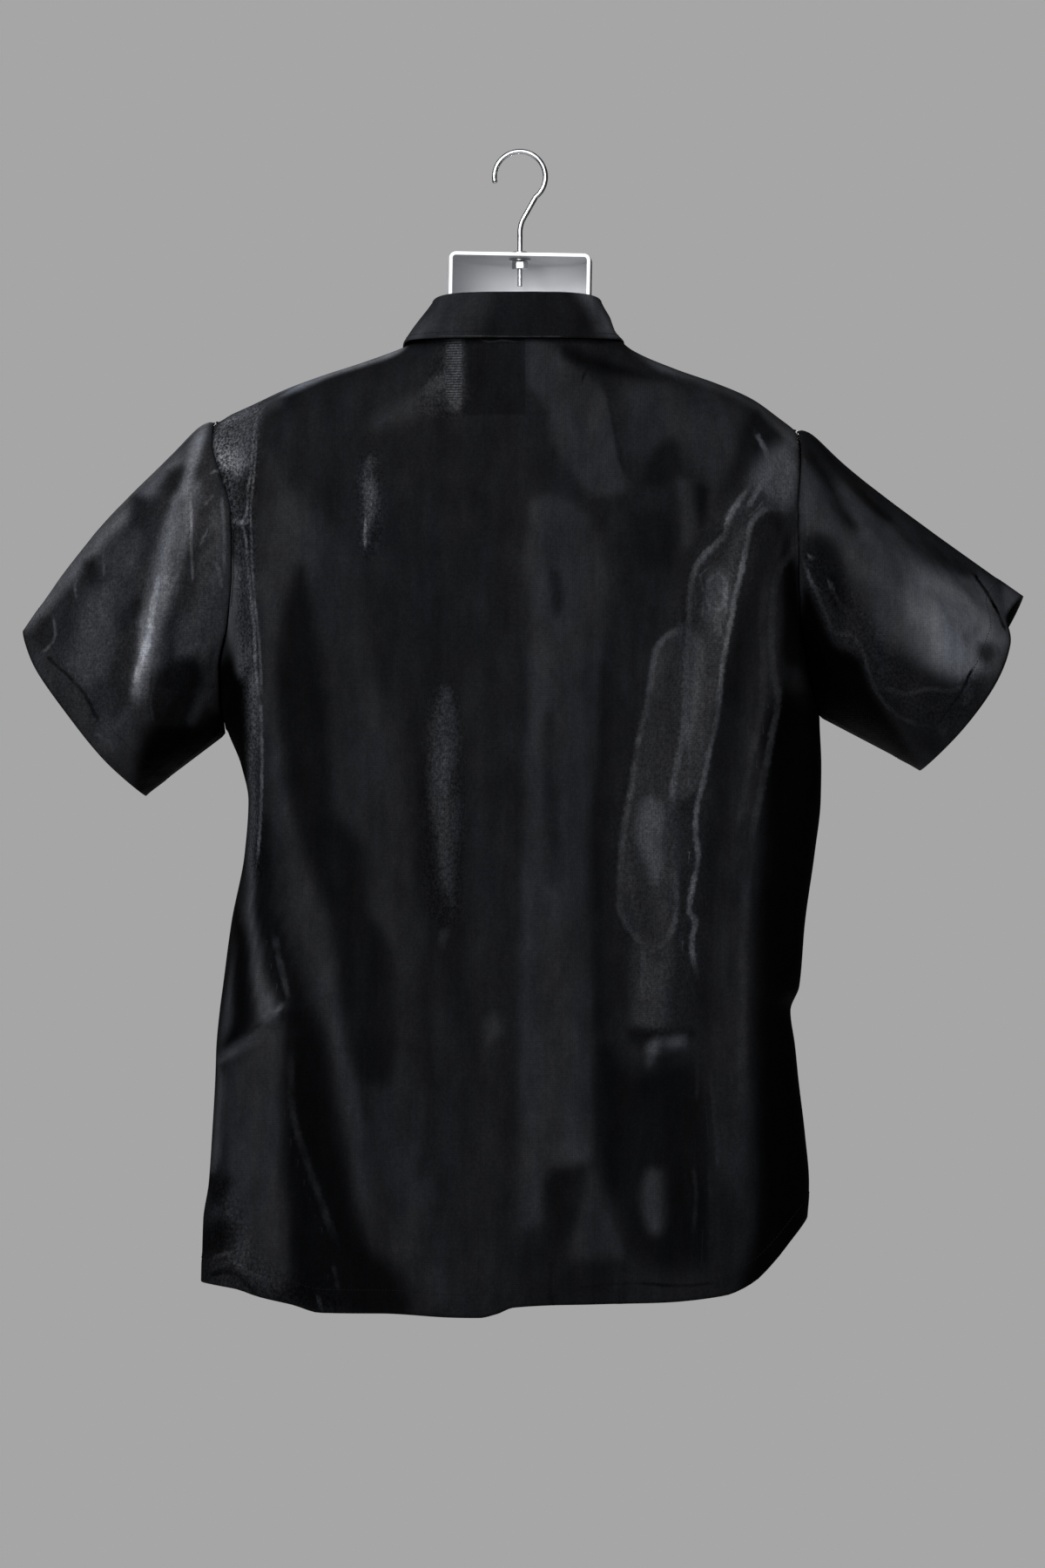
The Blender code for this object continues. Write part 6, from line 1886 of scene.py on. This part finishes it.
def makeButtons():
    disc, thread = buttonMesh(), threadMesh()
    disc.materials.append(finish("buttonPlastic", **button["look"]))
    thread.materials.append(finish("buttonThread", **button["threadLook"]))
    for i in range(1, 8):
        node = f"button_{i}"
        corners = np.array([vertex.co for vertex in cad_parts[node].data.vertices])
        middle = corners.mean(axis=0)
        # The disc's axis is the direction in which its points spread least
        normal = np.linalg.svd(corners - middle)[2][2]
        normal = normal * -np.sign(normal[1])
        seat = Vector(middle + normal * ((corners - middle) @ normal).min())
        turn = Vector((0, 0, 1)).rotation_difference(Vector(normal)).to_matrix().to_4x4()
        for piece, nodes in ((addObject(f"button{i}", disc), [node]),
                             (addObject(f"buttonThread{i}", thread), [])):
            piece.matrix_world = Matrix.Translation(seat) @ turn
            place(piece, "button", *nodes)


formCut = {
    "wall": 2.5 * mm,
    "tilt": math.radians(1.0),
    "frontShare": 0.80,
    "centreY": 0.0,
    "topZ": -0.0800,
    "edgeRadius": 5.0 * mm,
    "rimRound": 0.8 * mm,
    "columns": 156,
    "rows": 150,
    "rowSpread": 0.8,           # under 1 sets the rows closer towards the top
    "edgeSteps": 10,
    "topClosing": (0.06, 1, 16),
    "cloud": (14, 3),
    "tints": ((0.84, 0.855, 0.89, 1), (0.90, 0.91, 0.94, 1)),
    "look": {"color": (0.80, 0.81, 0.84), "roughness": 0.32, "wear": (90, 3, 0.2, 0.25),
             "grain": (0.15 * mm, 60, 2)},
    "inner": {"Subsurface Weight": 0.25, "Subsurface Radius": (1, 1, 1),
              "Subsurface Scale": 4 * mm},
}
formSections = Table(
    ("height", "half", "front", "edge", "turnIn", "square"),
    (
        (-0.770, 0.1840, -0.104, 0.045, 0.010, 2.3),
        (-0.700, 0.1780, -0.101, 0.045, 0.010, 2.3),
        (-0.640, 0.1740, -0.099, 0.045, 0.010, 2.3),
        (-0.580, 0.1790, -0.104, 0.045, 0.009, 2.3),
        (-0.500, 0.1870, -0.117, 0.045, 0.008, 2.3),
        (-0.420, 0.1950, -0.126, 0.045, 0.008, 2.2),
        (-0.360, 0.1990, -0.128, 0.045, 0.008, 2.2),
        (-0.300, 0.2000, -0.120, 0.044, 0.009, 2.1),
        (-0.250, 0.1980, -0.104, 0.041, 0.012, 2.0),
        (-0.220, 0.1950, -0.093, 0.038, 0.020, 1.9),
        (-0.203, 0.1900, -0.085, 0.034, 0.028, 1.8),
        (-0.1925, 0.1800, -0.079, 0.031, 0.034, 1.8),
        (-0.1835, 0.1530, -0.074, 0.028, 0.034, 1.8),
        (-0.1705, 0.1190, -0.069, 0.027, 0.026, 1.8),
        (-0.1580, 0.0870, -0.063, 0.027, 0.012, 1.9),
        (-0.1480, 0.0690, -0.059, 0.028, 0.005, 2.1),
        (-0.1360, 0.0585, -0.056, 0.029, 0.003, 2.3),
        (-0.1150, 0.0568, -0.055, 0.030, 0.002, 2.4),
        (-0.0850, 0.0568, -0.055, 0.030, 0.002, 2.4),
    ),
)


def formCurve(height, share, inset):
    # Round the front, then straight along each side to the open back
    centre, turn = formCut["centreY"], formCut["frontShare"]
    half = formSections.at(height, "half") - inset
    front = formSections.at(height, "front") + inset
    side, out = sideOf(share), np.abs(share)
    across, depth = bow(np.clip(out / turn, 0, 1), formSections.at(height, "square"))
    back = np.clip((out - turn) / (1 - turn), 0, 1)
    backX = half - formSections.at(height, "turnIn") * back**2
    backY = lerp(centre, formSections.at(height, "edge"), back)
    inFront = out <= turn
    x = side * np.where(inFront, half * across, backX)
    return stacked(x, np.where(inFront, centre + (front - centre) * depth, backY), height)


def tilted(points):
    pivot = np.array((0, 0, formCut["topZ"]))
    turn = np.array(Matrix.Rotation(-formCut["tilt"], 3, "Y"))
    return pivot + (points - pivot) @ turn.T


def formMaterial():
    material = finish("formPlastic", **formCut["look"])
    nodes = Nodes(material)
    tint = nodes.add("ShaderNodeMix", {0: nodes.noise(*formCut["cloud"])}, data_type="RGBA")
    for socket, color in zip(tint.inputs[6:8], formCut["tints"]):
        socket.default_value = color
    nodes.feed("Base Color", tint.outputs[2])
    for socket, value in formCut["inner"].items():
        nodes.shader.inputs[socket].default_value = value
    return material


def makeForm():
    count, top, radius = formCut["rows"], formCut["topZ"], formCut["edgeRadius"]
    # Each row's height, inset, and how far it closes towards the middle
    spread = (np.arange(count + 1) / count) ** formCut["rowSpread"]
    rows = [(height, 0, 0) for height in lerp(formSections.keys[0], top - radius, spread)]
    for bend in np.radians(np.linspace(0, 90, formCut["edgeSteps"] + 1)[1:]):
        rows.append((top - radius + radius * math.sin(bend), radius * (1 - math.cos(bend)), 0))
    rows += [(top, radius, closing) for closing in np.linspace(*formCut["topClosing"])]
    heights, insets, closings = np.array(rows).T[..., None]
    share = np.linspace(-1, 1, formCut["columns"] + 1)[None, :]
    points = formCurve(heights, share, insets)
    end = formCurve(heights, np.ones((1, 1)), insets)
    shut = stacked(share * end[..., 0], end[..., 1], heights)
    points = tilted(lerp(points, shut, closings[..., None]))

    def outside(grid):
        return grid - stacked(0, formCut["centreY"] + 0.03, np.minimum(grid[..., 2], top - 0.02))

    piece = sheetPiece("formShell", points, formMaterial(), outside, thickness=formCut["wall"])
    addEdges(piece, "Rim", formCut["rimRound"], 2, 50)
    place(piece, "form", "form_shell")


hook = {
    "wire": 2.0 * mm,
    "innerRadius": 18.0 * mm,
    "stemZ": (-0.1038, -0.0600),
    "swanNeck": ((-0.0015, 0, -0.0535), (-0.0060, 0, -0.0450)),
    "arcDegrees": (232, -12),
    "threadPitch": 0.9 * mm,
    "threadDepth": 0.18 * mm,
    "threadTopZ": -0.0770,
    "sides": 20,
    "tip": (0.55, 0.4, 0.5),    # the tip's narrow ring, how far out it is, and the very end
    "rows": {"stem": 90, "arc": 60, "neck": 8},
    "look": {"color": (0.60, 0.61, 0.63), "roughness": 0.3, "metallic": 1.0,
             "wear": (260, 3, 0.25, 0.20), "grain": (0.05 * mm, 700, 2)},
}


def hookLine():
    arc = np.radians(np.linspace(*hook["arcDegrees"], hook["rows"]["arc"]))
    bend = stacked(np.cos(arc), 0, np.sin(arc)) * (hook["innerRadius"] + hook["wire"])
    bend[:, 2] -= hook["innerRadius"]
    stem = stacked(0, 0, np.linspace(*hook["stemZ"], hook["rows"]["stem"]))
    neck = smoothCurve([stem[-1], *hook["swanNeck"], bend[0]], hook["rows"]["neck"])
    return np.vstack((stem, neck[1:-1], bend))


def makeHook(steel):
    # A wire with rolled thread on its stem, through the form's top plate
    line, wire = hookLine(), hook["wire"]
    runs = unit(np.gradient(line, axis=0))
    groove = 0.5 + 0.5 * np.sin(math.tau * travelled(line) / hook["threadPitch"])
    groove = np.where(line[:, 2] < hook["threadTopZ"], hook["threadDepth"] * groove, 0)
    across = np.array((0, 1, 0))
    angles = (np.arange(hook["sides"]) / hook["sides"] * math.tau)[:, None]
    round_ = np.cos(angles) * across + np.sin(angles) * np.cross(runs, across)[:, None]
    rings = line[:, None] + (wire - groove)[:, None, None] * round_
    narrow, capOut, endOut = hook["tip"]
    cap = lerp(line[-1], rings[-1], narrow) + runs[-1] * wire * capOut
    end = line[-1] + runs[-1] * wire * endOut
    first, last = (np.broadcast_to(tip, cap.shape) for tip in (line[0], end))
    surface = gridMesh("hookSurface", np.array([first, *rings, cap, last]), closed=True)
    shape = bmesh.new()
    shape.from_mesh(surface)
    bpy.data.meshes.remove(surface)
    place(addObject("hookWire", meshFrom("hookWire", shape, merged=True), steel), "steel", "hook")


bore = hook["wire"] + cloth["seamGap"]
# Node, outer radius, bore radius, sides and edge radius of the parts round the hook's stem
fastening = {
    "hookWasher": ("hook_washer", 8.5 * mm, bore, 64, 0.2 * mm),
    "hookNut": ("hook_nut", 5.5 * mm / math.cos(math.pi / 6), bore * 1.2, 6, 0.5 * mm),
    "hookFlange": ("hook_flange", 5.5 * mm, bore, 64, 0.5 * mm),
}


def makeFastening(steel):
    for name, (node, outer, inner, sides, bevel) in fastening.items():
        low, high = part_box(node)
        profile = ((inner, low.z), (outer, low.z), (outer, high.z), (inner, high.z))
        mesh = turnedMesh(name, profile, sides, closed=True)
        mesh.set_sharp_from_angle(angle=math.radians(25))
        piece = addObject(name, mesh, steel)
        addEdges(piece, "Edge", bevel, 3, 25)
        place(piece, "steel", node)


bpy.context.scene.view_settings.view_transform = "Standard"
makeCamera()
for lightName, light in lights.items():
    makeLight(lightName, **light)
makeStage()
print("camera, floor and lights made")
makeForm()
steel = finish("zincSteel", **hook["look"])
makeHook(steel)
makeFastening(steel)
print("form and hook made")
back = makePanel("backPanel", "back", backBands)
fronts = [makePanel(name, name) for name in ("frontLeft", "frontRight")]
makePlacket()
print("body made")
makeSleeve("sleeve_left", "sleeveLeft")
makeSleeve("sleeve_right", "sleeveRight")
print("sleeves made")
makeStand()
makeLeaf([back, *fronts])
print("collar made")
makeLabel(back)
makeButtons()
print("label and buttons made")
